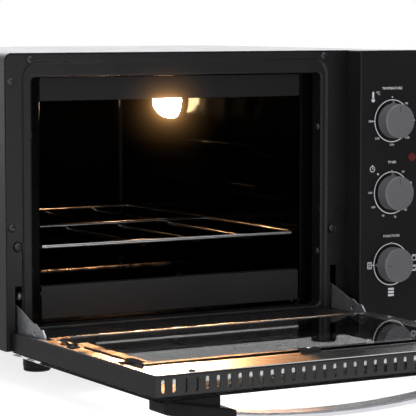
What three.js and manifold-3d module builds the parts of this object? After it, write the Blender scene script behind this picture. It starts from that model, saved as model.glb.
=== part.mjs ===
// Countertop electric oven with a drop-down door, shown with its door open.
// Millimetres, +Z up, front towards -Y. The parts are laid out in the body's
// own coordinates (X from the left outer face, Y from the front frame's face,
// positive into the oven, Z from the underside of the body) and the whole
// group is then moved so that its origin is the bottom centre of its box.
import * as THREE from 'three';
import { mergeVertices } from 'three/addons/utils/BufferGeometryUtils.js';
import Module from 'manifold-3d';

// ---------------------------------------------------------------- dimensions
const GAP = 0.3;                 // clearance between touching pieces

const BODY_W = 550, BODY_H = 335.7, BODY_D = 495.5;
const COVER_T = 1.0, COVER_R = 9;
const FOOT_H = 38, FOOT_R = 16.5;
const Y_NEAR = -345, Y_FAR = 500;

// front frame
const FRAME_T = 1.2;
const OPEN_X0 = 34.3, OPEN_X1 = 420, OPEN_Z0 = 25, OPEN_Z1 = 308.3;
const LIP_DEPTH = 20.2;
const STEP_X0 = 22.4, STEP_X1 = 428, STEP_Z0 = 8, STEP_Z1 = 325.5, STEP_R = 19, STEP_D = 1.5;

// cavity
const CAV_X0 = 53.5, CAV_X1 = 402.5, CAV_Y0 = 20.6, CAV_Y1 = 481, CAV_Z0 = 26, CAV_Z1 = 313;
const CAV_T = 1.0;
const RIBS = [[100.5, 110.2], [152.5, 162.2], [204.5, 214.2]];
const RIB_IN = 6, RIB_Y0 = 43, RIB_Y1 = 440;

// wire rack
const RACK_Z = 113, RACK_X0 = 58, RACK_X1 = 398, RACK_BAR_R = 2.5, RACK_WIRE_R = 2.0;
const RACK_BARS_Y = [29, 245, 460];
const RACK_WIRES_X = [119, 194, 268, 341];

// heating tubes
const HEAT_R = 3.5, HEAT_LOW_Z = 41, HEAT_TOP_Z = 296;
const HEAT_LOW_Y = [150, 352], HEAT_TOP_Y = [150, 405];

// cavity lamp, on the right wall
const LAMP_Y = 334.3, LAMP_Z = 265.4, LAMP_R = 25;

// hinge
const PIVOT_Y = -17.25, PIVOT_Z = 11.25;           // door turns about this line
const ARM_Y = -65, ARM_Z = 14, ARM_X = 15.6, ARM_T = 2;
const HINGE_MIRROR = 453.5;                         // x' = HINGE_MIRROR - x
const SLOT_X0 = 11.3, SLOT_X1 = 20, SLOT_Z0 = 12, SLOT_Z1 = 73.5;

// door, lying open
const DOOR_X0 = 6.4, DOOR_X1 = 447.9, DOOR_Y0 = -340, DOOR_Y1 = -1.5;
const DOOR_Z0 = -0.1, DOOR_Z1 = 21.8, DOOR_T = 1.2;
const SHEET_Z0 = 22.1, SHEET_Z1 = 23.1;
const VENT_PITCH = 12.68, VENT_X0 = 15.7, VENT_N = 34;

// handle
const HANDLE_X = 227, HANDLE_Z = -30.5, HANDLE_BOW = 0.0005, HANDLE_T = 6.3;

// control panel and knobs
const PANEL_X0 = 456.6, PANEL_Y = -30.5, PANEL_T = 2;
const KNOB_X = 503, KNOB_Z = { temperature: 249.7, timer: 161.7, function: 73.7 };
const KNOB_TURN = { temperature: 0, timer: 0, function: -90 };   // pointer from straight up, degrees
const KNOB_R = 20.9, KNOB_H = 17.3;
const LENS_X = 531.5, LENS_Z = 204.7, LENS_R = 5.5;

// ------------------------------------------------------------------- helpers
const wasm = await Module();
wasm.setup();

function solid(geometry) {
  const g = geometry.clone();
  for (const name of Object.keys(g.attributes)) if (name !== 'position') g.deleteAttribute(name);
  const m = mergeVertices(g, 1e-4);
  return new wasm.Manifold(new wasm.Mesh({
    numProp: 3,
    vertProperties: new Float32Array(m.attributes.position.array),
    triVerts: new Uint32Array(m.index.array),
  }));
}

const join = (...parts) => parts.flat().reduce((a, b) => a.add(b));
const cut = (base, ...tools) => tools.flat().reduce((a, b) => a.subtract(b), base);

function box(x0, x1, y0, y1, z0, z1) {
  const g = new THREE.BoxGeometry(x1 - x0, y1 - y0, z1 - z0);
  g.translate((x0 + x1) / 2, (y0 + y1) / 2, (z0 + z1) / 2);
  return solid(g);
}

function shapeOf(points, holes = []) {
  const s = new THREE.Shape(points.map(([a, b]) => new THREE.Vector2(a, b)));
  for (const h of holes) s.holes.push(new THREE.Path(h.map(([a, b]) => new THREE.Vector2(a, b))));
  return s;
}

// points are (y, z); extruded along X
function prismX(points, x0, x1, holes) {
  const g = new THREE.ExtrudeGeometry(shapeOf(points, holes), { depth: x1 - x0, bevelEnabled: false });
  g.applyMatrix4(new THREE.Matrix4().set(0, 0, 1, x0, 1, 0, 0, 0, 0, 1, 0, 0, 0, 0, 0, 1));
  return solid(g);
}

// points are (x, z); extruded along Y
function prismY(points, y0, y1, holes) {
  const g = new THREE.ExtrudeGeometry(shapeOf(points, holes), { depth: y1 - y0, bevelEnabled: false });
  g.applyMatrix4(new THREE.Matrix4().set(1, 0, 0, 0, 0, 0, -1, y1, 0, 1, 0, 0, 0, 0, 0, 1));
  return solid(g);
}

// points are (x, y); extruded along Z
function prismZ(points, z0, z1, holes) {
  const g = new THREE.ExtrudeGeometry(shapeOf(points, holes), { depth: z1 - z0, bevelEnabled: false });
  g.translate(0, 0, z0);
  return solid(g);
}

function cylX(x0, x1, y, z, r, n = 24, r2 = r) {
  const g = new THREE.CylinderGeometry(r2, r, x1 - x0, n);
  g.rotateZ(-Math.PI / 2);
  g.translate((x0 + x1) / 2, y, z);
  return solid(g);
}
function cylY(y0, y1, x, z, r, n = 24, r2 = r) {
  const g = new THREE.CylinderGeometry(r2, r, y1 - y0, n);
  g.translate(x, (y0 + y1) / 2, z);
  return solid(g);
}
function cylZ(z0, z1, x, y, r, n = 24, r2 = r) {
  const g = new THREE.CylinderGeometry(r2, r, z1 - z0, n);
  g.rotateX(Math.PI / 2);
  g.translate(x, y, (z0 + z1) / 2);
  return solid(g);
}
// profile is (radius, distance along the axis), closed on the axis
function lathe(profile, n = 32) {
  const g = new THREE.LatheGeometry(profile.map(([r, h]) => new THREE.Vector2(r, h)), n);
  return solid(g);
}

// rounded rectangle: radii for the corners (a0,b0) (a1,b0) (a1,b1) (a0,b1)
function roundRect(a0, b0, a1, b1, radii, n = 6) {
  const r = Array.isArray(radii) ? radii : [radii, radii, radii, radii];
  const corners = [
    [a0 + r[0], b0 + r[0], r[0], 180], [a1 - r[1], b0 + r[1], r[1], 270],
    [a1 - r[2], b1 - r[2], r[2], 0], [a0 + r[3], b1 - r[3], r[3], 90],
  ];
  const out = [];
  for (const [ca, cb, rr, start] of corners) {
    if (rr <= 0) { out.push([ca, cb]); continue; }
    for (let i = 0; i <= n; i++) {
      const t = (start + 90 * i / n) * Math.PI / 180;
      out.push([ca + rr * Math.cos(t), cb + rr * Math.sin(t)]);
    }
  }
  return out;
}
// a slot with round ends, longer along the second coordinate
function slotPoints(a, b0, b1, w, n = 1) {
  return roundRect(a - w / 2, b0, a + w / 2, b1, w * 0.32, n);
}
const mirrorX = (m) => m.transform([-1, 0, 0, 0, 0, 1, 0, 0, 0, 0, 1, 0, HINGE_MIRROR, 0, 0, 1]);

const assembly = new THREE.Group();
function add(name, manifold, look) {
  const mesh = manifold.getMesh();
  const g = new THREE.BufferGeometry();
  g.setAttribute('position', new THREE.BufferAttribute(new Float32Array(mesh.vertProperties), 3));
  g.setIndex(new THREE.BufferAttribute(new Uint32Array(mesh.triVerts), 1));
  g.computeVertexNormals();
  const part = new THREE.Mesh(g, look);
  part.name = name;
  assembly.add(part);
}

const paint = (color, roughness, metalness, extra = {}) =>
  new THREE.MeshStandardMaterial({ color, roughness, metalness, ...extra });
const LOOK = {
  body: paint(0x2c2d2e, 0.42, 0.3),
  panel: paint(0x26272a, 0.35, 0.2),
  enamel: paint(0x0d0d0e, 0.12, 0.1),
  baffle: paint(0x2b2b2c, 0.5, 0.4),
  door: paint(0x2a2b2c, 0.42, 0.3),
  bright: paint(0xd8d4cc, 0.2, 1.0),
  zinc: paint(0xb4b8bc, 0.35, 0.9),
  rack: paint(0xd6d6d8, 0.18, 1.0),
  tube: paint(0x8d9092, 0.3, 0.9),
  handle: paint(0xc9cacd, 0.3, 1.0),
  plastic: paint(0x161617, 0.5, 0),
  knob: paint(0x8f9092, 0.45, 0.2),
  glass: paint(0xdfe6e6, 0.03, 0, { transparent: true, opacity: 0.3 }),
  lamp: paint(0xfff2cf, 0.1, 0, { transparent: true, opacity: 0.6 }),
  red: paint(0x9c1512, 0.2, 0),
  foot: paint(0x1a1a1b, 0.6, 0),
  screw: paint(0x202122, 0.4, 0.6),
};

// ------------------------------------------------------------ body and frame
{
  const w = BODY_W, h = BODY_H, t = COVER_T, r = COVER_R, ri = r - t;
  const outline = [[0, 0], [14, 0], [14, t], [t, t]];
  const arc = (cx, cz, rr, a0, a1) => {
    const out = [];
    for (let i = 0; i <= 6; i++) {
      const a = (a0 + (a1 - a0) * i / 6) * Math.PI / 180;
      out.push([cx + rr * Math.cos(a), cz + rr * Math.sin(a)]);
    }
    return out;
  };
  outline.push(...arc(r, h - r, ri, 180, 90));
  outline.push(...arc(w - r, h - r, ri, 90, 0));
  outline.push([w - t, t], [w - 14, t], [w - 14, 0], [w, 0]);
  outline.push(...arc(w - r, h - r, r, 0, 90));
  outline.push(...arc(r, h - r, r, 90, 180));
  let cover = prismY(outline, 0, BODY_D);
  // cooling slots at the back of both sides
  const slots = [];
  for (let i = 0; i < 9; i++) {
    const y = 330 + i * 14;
    slots.push(box(-1, w + 1, y, y + 4.5, 215, 275));
  }
  cover = cut(cover, slots);
  add('outer_cover', cover, LOOK.body);
}

{
  // flat front with a rim turned back inside the cover and a lip round the opening
  const x0 = COVER_T + GAP, x1 = BODY_W - COVER_T - GAP, z0 = COVER_T + GAP, z1 = BODY_H - COVER_T - GAP;
  const rr = [1.5, 1.5, COVER_R - COVER_T - GAP, COVER_R - COVER_T - GAP];
  const rim = roundRect(x0, z0, x1, z1, rr);
  const rimIn = roundRect(x0 + 1, z0 + 1, x1 - 1, z1 - 1, rr.map((q) => Math.max(q - 1, 0.5)));
  const opening = roundRect(OPEN_X0, OPEN_Z0, OPEN_X1, OPEN_Z1, 6);
  const lipOut = roundRect(OPEN_X0 - FRAME_T, OPEN_Z0 - FRAME_T, OPEN_X1 + FRAME_T, OPEN_Z1 + FRAME_T, 7.2);
  // the face steps back around the opening
  const st = roundRect(STEP_X0, STEP_Z0, STEP_X1, STEP_Z1, [6, 6, STEP_R, STEP_R], 8);
  const stOut = roundRect(STEP_X0 - 1.2, STEP_Z0 - 1.2, STEP_X1 + 1.2, STEP_Z1 + 1.2, [7.2, 7.2, STEP_R + 1.2, STEP_R + 1.2], 8);
  let f = join(
    prismY(rim, 0, FRAME_T, [st]),
    prismY(rim, FRAME_T - 0.2, 13, [rimIn]),
    prismY(stOut, 0.1, STEP_D + FRAME_T, [st]),
    prismY(stOut, STEP_D, STEP_D + FRAME_T, [opening]),
    prismY(lipOut, STEP_D + 0.2, LIP_DEPTH, [opening]),
  );
  // hinge slots, bracket holes, switch windows and screw holes
  f = cut(f,
    box(SLOT_X0, SLOT_X1, -2, 5, SLOT_Z0, SLOT_Z1),
    box(HINGE_MIRROR - SLOT_X1, HINGE_MIRROR - SLOT_X0, -2, 5, SLOT_Z0, SLOT_Z1),
    box(23.9, 26.9, -2, 3.2, 4, 19), box(HINGE_MIRROR - 26.9, HINGE_MIRROR - 23.9, -2, 3.2, 4, 19),
    Object.values(KNOB_Z).map((z) => box(KNOB_X - 26, KNOB_X + 26, -2, 5, z - 26, z + 26)),
    box(LENS_X - 9, LENS_X + 9, -2, 5, LENS_Z - 9, LENS_Z + 9),
  );
  const holes = [[7.9, 303.3], [8.2, 139.7], [15.4, 118], [31.9, 327.5], [423, 328.6], [436, 118.7]];
  f = cut(f, holes.map(([x, z]) => cylY(-2, 5, x, z, 2.1, 8)));
  f = cut(f, [90.6, 243].flatMap((z) => [cylX(OPEN_X1 - 2, OPEN_X1 + 3, 8.5, z, 2.1, 8), cylX(OPEN_X0 - 3, OPEN_X0 + 2, 8.5, z, 2.1, 8)]));
  add('front_frame', f, LOOK.body);

  // pan-head screws through the frame's face and lip
  const head = [[0, -2.2], [2.6, -1.9], [4.0, -1.1], [4.5, -0.3], [1.7, -0.3], [1.7, 6], [0, 6]];
  const names = ['frame_screw_left_top', 'frame_screw_left_mid', 'frame_screw_left_low',
    'frame_screw_top_left', 'frame_screw_top_right', 'frame_screw_right_low'];
  const one = lathe(head, 12);
  holes.forEach(([x, z], i) => add(names[i], one.translate([x, 0, z]), LOOK.screw));
  const toRight = one.rotate([0, 0, -90]);   // head towards -X
  const toLeft = one.rotate([0, 0, 90]);     // head towards +X
  [['low', 90.6], ['high', 243]].forEach(([n, z]) => {
    add(`lip_screw_right_${n}`, toRight.translate([OPEN_X1, 8.5, z]), LOOK.screw);
    add(`lip_screw_left_${n}`, toLeft.translate([OPEN_X0, 8.5, z]), LOOK.screw);
  });
}

{
  // back cover with a forward rim, cooling slots and the hole for the cord bush
  const x0 = COVER_T + GAP, x1 = BODY_W - COVER_T - GAP, z0 = COVER_T + GAP, z1 = BODY_H - COVER_T - GAP;
  const rr = [1.5, 1.5, COVER_R - COVER_T - GAP, COVER_R - COVER_T - GAP];
  const rim = roundRect(x0, z0, x1, z1, rr);
  const rimIn = roundRect(x0 + 1, z0 + 1, x1 - 1, z1 - 1, rr.map((q) => Math.max(q - 1, 0.5)));
  let b = join(prismY(rim, BODY_D - 1.2, BODY_D), prismY(rim, BODY_D - 12, BODY_D - 1.1, [rimIn]));
  const slots = [];
  for (let i = 0; i < 6; i++) for (const z of [70, 84, 235, 249]) slots.push(box(100 + i * 46, 132 + i * 46, BODY_D - 3, BODY_D + 1, z, z + 5));
  b = cut(b, slots, cylY(BODY_D - 3, BODY_D + 1, 500, 60, 8.4, 16));
  add('back_cover', b, LOOK.body);
  const bush = cut(join(cylY(BODY_D - 8, Y_FAR, 500, 60, 8.0, 16), cylY(BODY_D + GAP, Y_FAR, 500, 60, 11, 16)),
    cylY(BODY_D - 9, Y_FAR + 1, 500, 60, 4.2, 12));
  add('cord_bush', bush, LOOK.plastic);
}

{
  // bottom plate between the front and back rims
  let p = box(1.4, BODY_W - 1.4, 13.5, BODY_D - 12.5, COVER_T + GAP, COVER_T + GAP + 1);
  const slots = [];
  for (let i = 0; i < 10; i++) slots.push(box(120 + i * 30, 140 + i * 30, 200, 205, 0, 4), box(120 + i * 30, 140 + i * 30, 300, 305, 0, 4));
  add('bottom_plate', cut(p, slots), LOOK.body);
  const foot = lathe([[0, 0], [14.8, 0], [16.0, 0.6], [FOOT_R, 1.8], [FOOT_R, FOOT_H + 1.0], [0, FOOT_H + 1.0]], 20).rotate([90, 0, 0]);
  for (const [n, x, y] of [['front_left', 74.4, 78], ['front_right', 475.6, 78], ['rear_left', 74.4, 430], ['rear_right', 475.6, 430]]) {
    add(`foot_${n}`, foot.translate([x, y, -FOOT_H]), LOOK.foot);
  }
}

// --------------------------------------------------------------------- cavity
{
  const o = CAV_T;
  let c = box(CAV_X0 - o, CAV_X1 + o, CAV_Y0, CAV_Y1 + o, CAV_Z0 - o, CAV_Z1 + o);
  c = c.add(box(33.3, 421, CAV_Y0, CAV_Y0 + 1, 22, 317));
  // pressed ribs that carry the rack, hollow on the outside
  const ribs = [], grooves = [];
  for (const [z0, z1] of RIBS) {
    ribs.push(prismY([[CAV_X0 - 0.5, z0 - 4], [CAV_X0 + RIB_IN, z0 + 2], [CAV_X0 + RIB_IN, z1], [CAV_X0 - 0.5, z1]], RIB_Y0, RIB_Y1));
    ribs.push(prismY([[CAV_X1 + 0.5, z0 - 4], [CAV_X1 + 0.5, z1], [CAV_X1 - RIB_IN, z1], [CAV_X1 - RIB_IN, z0 + 2]], RIB_Y0, RIB_Y1));
    grooves.push(prismY([[CAV_X0 - 2, z0 - 3.6], [CAV_X0 + RIB_IN - 1, z0 + 2.6], [CAV_X0 + RIB_IN - 1, z1 - 1], [CAV_X0 - 2, z1 - 1]], RIB_Y0 + 1, RIB_Y1 - 1));
    grooves.push(prismY([[CAV_X1 + 2, z0 - 3.6], [CAV_X1 + 2, z1 - 1], [CAV_X1 - RIB_IN + 1, z1 - 1], [CAV_X1 - RIB_IN + 1, z0 + 2.6]], RIB_Y0 + 1, RIB_Y1 - 1));
  }
  c = cut(c, box(CAV_X0, CAV_X1, CAV_Y0 - 1, CAV_Y1, CAV_Z0, CAV_Z1));
  c = cut(join(c, ribs), grooves);
  // holes for the heating tubes and the lamp
  const holes = [];
  for (const [y, z] of [...HEAT_LOW_Y.map((y) => [y, HEAT_LOW_Z]), ...HEAT_TOP_Y.map((y) => [y, HEAT_TOP_Z])]) {
    holes.push(cylX(CAV_X0 - 3, CAV_X0 + 2, y, z, HEAT_R + 0.5, 16), cylX(CAV_X1 - 2, CAV_X1 + 3, y, z, HEAT_R + 0.5, 16));
  }
  holes.push(cylX(CAV_X1 - 2, CAV_X1 + 3, LAMP_Y, LAMP_Z, 15.5, 24));
  add('cavity_liner', cut(c, holes), LOOK.enamel);

  const tube = (y, z) => join(cylX(44, 412, y, z, HEAT_R, 16), cylX(38, 44.5, y, z, 1.5, 10), cylX(411.5, 418, y, z, 1.5, 10));
  add('heater_lower_front', tube(HEAT_LOW_Y[0], HEAT_LOW_Z), LOOK.tube);
  add('heater_lower_rear', tube(HEAT_LOW_Y[1], HEAT_LOW_Z), LOOK.tube);
  add('heater_upper_front', tube(HEAT_TOP_Y[0], HEAT_TOP_Z), LOOK.tube);
  add('heater_upper_rear', tube(HEAT_TOP_Y[1], HEAT_TOP_Z), LOOK.tube);

  // strips that hide the tubes behind the top and bottom of the opening
  add('upper_baffle', join(box(53.9, 402.1, 22, 23, 280.3, 307.3), box(53.9, 402.1, 22, 33, 280.3, 281.3), box(53.9, 402.1, 22, 33, 306.3, 307.3)), LOOK.baffle);
  add('lower_baffle', join(box(54.6, 401, 22, 23, 30.5, 68), box(54.6, 401, 22, 37, 67, 68), box(54.6, 401, 22, 34, 30.5, 31.5)), LOOK.baffle);

  // lamp: socket through the wall, clamping ring, domed glass and bulb
  const x = CAV_X1;
  const ring = cut(join(cylX(x - 5.5, x - GAP, LAMP_Y, LAMP_Z, 27, 24), cylX(x - 1, x + 12, LAMP_Y, LAMP_Z, 15, 20)),
    cylX(x - 6, x - 1.2, LAMP_Y, LAMP_Z, 24.9, 24), cylX(x - 3, x + 13, LAMP_Y, LAMP_Z, 10, 20));
  add('lamp_ring', ring, LOOK.zinc);
  const dome = [];
  const n = 6;
  for (let i = 0; i <= n; i++) { const a = i / n * Math.PI / 2; dome.push([24.2 * Math.cos(a), 6 + 24.2 * Math.sin(a)]); }
  const inner = [];
  for (let i = n; i >= 0; i--) { const a = i / n * Math.PI / 2; inner.push([22.2 * Math.cos(a), 6 + 22.2 * Math.sin(a)]); }
  dome[n][0] = 0; inner[0][0] = 0;
  const cover = lathe([[22.2, 0], [24.2, 0], ...dome, ...inner, [22.2, 0]], 24).rotate([0, 0, 90]).translate([x - 1.6, LAMP_Y, LAMP_Z]);
  add('lamp_cover', cover, LOOK.lamp);
  const bulb = lathe([[0, -6], [6.5, -6], [6.5, 6], [7.5, 9], [9.5, 13], [9.8, 17], [8.2, 21], [4.8, 23.6], [0, 24.4]], 14).rotate([0, 0, 90]).translate([x, LAMP_Y, LAMP_Z]);
  add('lamp_bulb', bulb, LOOK.lamp);
}

{
  // wire rack: two side rails and three bars in one plane, long wires welded under the bars
  const parts = [];
  for (const y of RACK_BARS_Y) parts.push(cylX(RACK_X0, RACK_X1, y, RACK_Z, RACK_BAR_R, 10));
  for (const x of [RACK_X0, RACK_X1]) {
    parts.push(cylY(RACK_BARS_Y[0], RACK_BARS_Y[2], x, RACK_Z, RACK_BAR_R, 10));
    for (const y of [RACK_BARS_Y[0], RACK_BARS_Y[2]]) {
      const g = new THREE.SphereGeometry(RACK_BAR_R * 1.02, 8, 6);
      g.translate(x, y, RACK_Z);
      parts.push(solid(g));
    }
  }
  for (const x of RACK_WIRES_X) parts.push(cylY(RACK_BARS_Y[0] - 2, RACK_BARS_Y[2] + 2, x, RACK_Z - 4.1, RACK_WIRE_R, 8));
  add('wire_rack', join(parts), LOOK.rack);
}

// ---------------------------------------------------------------------- hinge
{
  // bracket behind the frame; its lug comes forward through the frame into the
  // door's bottom rail, and a round guide post stands beside the slot
  const lug = [];
  for (let i = 0; i <= 10; i++) { const a = (90 + 180 * i / 10) * Math.PI / 180; lug.push([PIVOT_Y + 6.75 * Math.cos(a), PIVOT_Z + 6.75 * Math.sin(a)]); }
  const pts = [...lug, [45, 4.5], [45, 70], [38, 88], [3, 88], [3, 18]];
  let b = prismX(pts, 24.4, 26.4);
  b = cut(b, cylX(20, 30, PIVOT_Y, PIVOT_Z, 2.8, 20), box(20, 30, -1, 3.0, 19, 100));
  b = b.add(box(26.2, 31.8, 3, 4.4, 22, 88));
  b = b.add(cylX(17.2, 24.6, 8, 61.3, 4.5, 20));
  add('hinge_bracket_left', b, LOOK.zinc);
  add('hinge_bracket_right', mirrorX(b), LOOK.zinc);

  // arm: a tapering plate, pivoted in the door and passing through the slot
  const a0 = 18.5 * Math.PI / 180, ca = Math.cos(a0), sa = Math.sin(a0);
  const at = (s, p) => [ARM_Y + s * ca - p * sa, ARM_Z + s * sa + p * ca];
  const outline = [
    at(96, 12.0), [9.8, 52.3], [-8.9, 46.6], [-19.5, 42.8], [-30, 39], [-37.8, 36.6], [-45.6, 36.5], [-50.7, 33.8],
    [-55.9, 31.6], [-63.6, 32.1], [-66.6, 29.1], [-71.2, 24.2], [-72.4, 17], [-71.6, 10.6], [-67.5, 6.6], [-62, 5.6],
    at(8, -9), at(95, -20), at(103, -14), at(104, 4),
  ];
  let arm = prismX(outline, ARM_X - ARM_T / 2, ARM_X + ARM_T / 2);
  arm = cut(arm, cylX(0, 30, ARM_Y, ARM_Z, 3.0, 20), cylX(0, 30, -43.5, 25.5, 2.4, 16));
  add('hinge_arm_left', arm, LOOK.zinc);
  add('hinge_arm_right', mirrorX(arm), LOOK.zinc);
  const armPin = join(cylX(DOOR_X0 + DOOR_T + GAP, 19.6, ARM_Y, ARM_Z, 2.7, 20), cylX(17.2, 19.6, ARM_Y, ARM_Z, 4.6, 20));
  add('arm_pin_left', armPin, LOOK.zinc);
  add('arm_pin_right', mirrorX(join(armPin, cylX(7.2, 8.2, ARM_Y, ARM_Z, 2.7, 20))), LOOK.zinc);
  const doorPin = cylX(20.8, 30.8, PIVOT_Y, PIVOT_Z, 2.5, 20);
  add('door_pin_left', doorPin, LOOK.zinc);
  add('door_pin_right', mirrorX(doorPin), LOOK.zinc);
}

// ----------------------------------------------------------------------- door
{
  const x0 = DOOR_X0, x1 = DOOR_X1, y0 = DOOR_Y0, y1 = DOOR_Y1, z0 = DOOR_Z0, z1 = DOOR_Z1, t = DOOR_T;
  // outer and inner sections seen from the side; the hinge edge is rounded at the top
  const outer = roundRect(y0, z0, y1, z1, [0.01, 0.01, 6, 0.8], 6);
  const inner = roundRect(y0 + t, z0 + t, y1 - t, z1 - t, [0.01, 0.01, 4.8, 0.3], 6);
  let f = cut(prismX(outer, x0, x1), prismX(inner, x0 + t, x1 - t));
  // window through the inner and outer faces
  f = cut(f,
    box(36, 418, -270, -80, z1 - t - 1, z1 + 1),
    prismZ(roundRect(52, -281, 402, -88, 8), z0 - 1, z0 + t + 1));
  // web that closes the bottom rail, and the webs that carry the hinge pins
  f = join(f, box(20.6, HINGE_MIRROR - 20.6, -46, -45, z0 + 0.5, z1 - 0.5),
    [[21.2, 22.4], [29.0, 30.2]].flatMap(([a, b]) => [
      box(a, b, -45.5, y1 - 0.5, z0 + 0.5, 16), box(HINGE_MIRROR - b, HINGE_MIRROR - a, -45.5, y1 - 0.5, z0 + 0.5, 16)]));
  // clear ways for the hinge arms and brackets
  const ways = [];
  for (const m of [(a, b) => [a, b], (a, b) => [HINGE_MIRROR - b, HINGE_MIRROR - a]]) {
    const [p, q] = m(10.8, 20.4), [r, s] = m(23.7, 27.1), [u, v] = m(20.6, 31.0);
    ways.push(box(p, q, -82, 1, z0 + t + 0.4, z1 + 2));
    ways.push(box(r, s, -25.2, 1, z0 + t + 0.6, z1 + 2));
    ways.push(cylX(u - 0.1, v + 0.1, PIVOT_Y, PIVOT_Z, 2.8, 20));
  }
  f = cut(f, ways);
  // row of cooling slots in the free edge
  const vents = [];
  for (let i = 0; i < VENT_N; i++) vents.push(prismY(slotPoints(VENT_X0 + i * VENT_PITCH, 3.5, 17.8, 4.2), y0 - 1, y0 + t + 0.5));
  f = cut(f, vents);
  add('door_frame', f, LOOK.door);

  // bright inner sheet with the window opening and gaps for the arms
  let s = prismZ(roundRect(6.9, -339.6, 447.4, -67.5, 1), SHEET_Z0, SHEET_Z1, [roundRect(37, -277, 417.5, -82, 4)]);
  s = cut(s, box(10.8, 20.4, -82, -50, 20, 30), box(HINGE_MIRROR - 20.4, HINGE_MIRROR - 10.8, -82, -50, 20, 30));
  add('door_inner_sheet', s, LOOK.bright);

  // glass panes
  add('inner_glass', prismZ(roundRect(20.6, -292, 433.4, -84, 3), SHEET_Z1 + GAP, SHEET_Z1 + GAP + 2.8), LOOK.glass);
  add('outer_glass', prismZ(roundRect(5.9, -341, 448.4, -1.0, 2.5), -3.5, -0.4), LOOK.glass);
  add('glass_rest_strip', box(89, 357, -49.4, -46.3, 6.5, 8.7), LOOK.bright);

  // clips that hold the inner pane: two along its left edge, each with a screwed tab, and one on the free edge
  const z = SHEET_Z1 + GAP;
  add('glass_clip_left', join(
    box(18.4, 20.2, -291, -254, z, 27.4), box(18.4, 26.5, -283, -256, 26.5, 27.4), box(9.5, 20.2, -266, -254, z, z + 1)), LOOK.plastic);
  add('glass_clip_far_left', join(
    box(18.4, 20.2, -148, -103, z, z + 1), box(18.4, 20.2, -117, -103, z, 27.4), box(18.4, 20.2, -137, -131, z, 27.4),
    box(18.4, 31, -117, -103, 26.5, 27.4), box(20.3, 31, -137, -103, 26.5, 27.4), box(18.4, 31, -137, -131, 26.5, 27.4),
    box(9.5, 20.2, -148, -136, z, z + 1)), LOOK.plastic);
  const clip = (xa, xb) => join(box(xa, xb, -296.5, -292.3, z, 27.6), box(xa, xb, -296.5, -286, 26.5, 27.6));
  add('glass_clip_right', clip(205, 229), LOOK.plastic);
}

{
  // bowed flat bar held at both ends by moulded caps that stand off the glass
  const top = (x) => HANDLE_Z + HANDLE_BOW * (x - HANDLE_X) ** 2;
  const bar = (xa, xb, grow) => {
    const pts = [];
    const n = 26;
    for (let i = 0; i <= n; i++) { const x = xa + (xb - xa) * i / n; pts.push([x, top(x) - HANDLE_T - grow]); }
    for (let i = n; i >= 0; i--) { const x = xa + (xb - xa) * i / n; pts.push([x, top(x) + grow]); }
    return pts;
  };
  const hx = (x) => 2 * HANDLE_X - x;
  add('handle_bar', prismY(bar(62, hx(62), 0), -342.8, -317.2), LOOK.handle);
  const side = [[15, -5.2], [22, -5.0], [93, -17.4], [96.6, -18.6], [98, -20.8], [98, -29.2], [96.5, -31.4], [93, -32.0], [70, -27.6], [40, -22.4], [18, -17.6], [15, -16.4]].reverse();
  let cap = prismY(side, -345, -310);
  cap = cap.add(box(30, 83, -338, -316, -14, -3.8));
  cap = cut(cap, prismY(bar(61.4, 120, GAP), -343.1, -316.9));
  add('handle_cap_left', cap, LOOK.plastic);
  add('handle_cap_right', cap.transform([-1, 0, 0, 0, 0, 1, 0, 0, 0, 0, 1, 0, 2 * HANDLE_X, 0, 0, 1]), LOOK.plastic);
}

// -------------------------------------------------------------- control panel
{
  let p = prismY(roundRect(PANEL_X0, 0, BODY_W, BODY_H, [2, 2, 5, 2]), PANEL_Y, -GAP);
  p = cut(p, prismY(roundRect(PANEL_X0 + PANEL_T, PANEL_T, BODY_W - PANEL_T, BODY_H - PANEL_T, 2), PANEL_Y + PANEL_T, 1));
  p = cut(p, Object.values(KNOB_Z).map((z) => cylY(PANEL_Y - 1, PANEL_Y + 4, KNOB_X, z, 4.2, 20)), cylY(PANEL_Y - 1, PANEL_Y + 4, LENS_X, LENS_Z, 4.6, 20));
  add('control_panel', p, LOOK.panel);

  add('indicator_lens', lathe([[0, PANEL_Y - 3.6], [2.4, PANEL_Y - 3.3], [4.2, PANEL_Y - 2.2], [5.2, PANEL_Y - 0.9], [LENS_R, PANEL_Y - GAP], [4.3, PANEL_Y - GAP], [4.3, PANEL_Y + 12], [0, PANEL_Y + 12]], 16)
    .translate([LENS_X, 0, LENS_Z]), LOOK.red);

  const yb = PANEL_Y - 0.6;                 // back of the knob
  const yf = yb - KNOB_H;                   // face of the knob
  for (const [n, z] of Object.entries(KNOB_Z)) {
    let k = lathe([[0, yf], [19.4, yf], [20.4, yf + 0.4], [KNOB_R, yf + 1.4], [21.3, yb - 3], [21.3, yb], [0, yb]], 28);
    // pointer on the skirt and a groove on the face
    k = k.add(prismY([[-3.2, 19], [3.2, 19], [0, 24.6]], yb - 3, yb));
    k = cut(k, box(-0.7, 0.7, yf - 1, yf + 0.6, 11, 18), cylY(yb - 12, yb + 1, 0, 0, 3.3, 20));
    add(`knob_${n}`, k.rotate([0, KNOB_TURN[n], 0]).translate([KNOB_X, 0, z]), LOOK.knob);
    add(`shaft_${n}`, cylY(yb - 11.5, PANEL_Y + 22, KNOB_X, z, 3.0, 20), LOOK.zinc);
    const sw = cut(box(KNOB_X - 21, KNOB_X + 21, PANEL_Y + PANEL_T + GAP, 12, z - 21, z + 21), cylY(PANEL_Y, PANEL_Y + 24, KNOB_X, z, 3.3, 20));
    add(`switch_${n}`, sw, LOOK.plastic);
  }
}

assembly.position.set(-BODY_W / 2, -(Y_NEAR + Y_FAR) / 2, FOOT_H);
assembly.updateMatrixWorld(true);
export default assembly;
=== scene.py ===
"""Countertop rotisserie oven with its door open: the looks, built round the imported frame."""
import math

import bmesh
import bpy
from mathutils import Matrix, Vector, geometry


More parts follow.
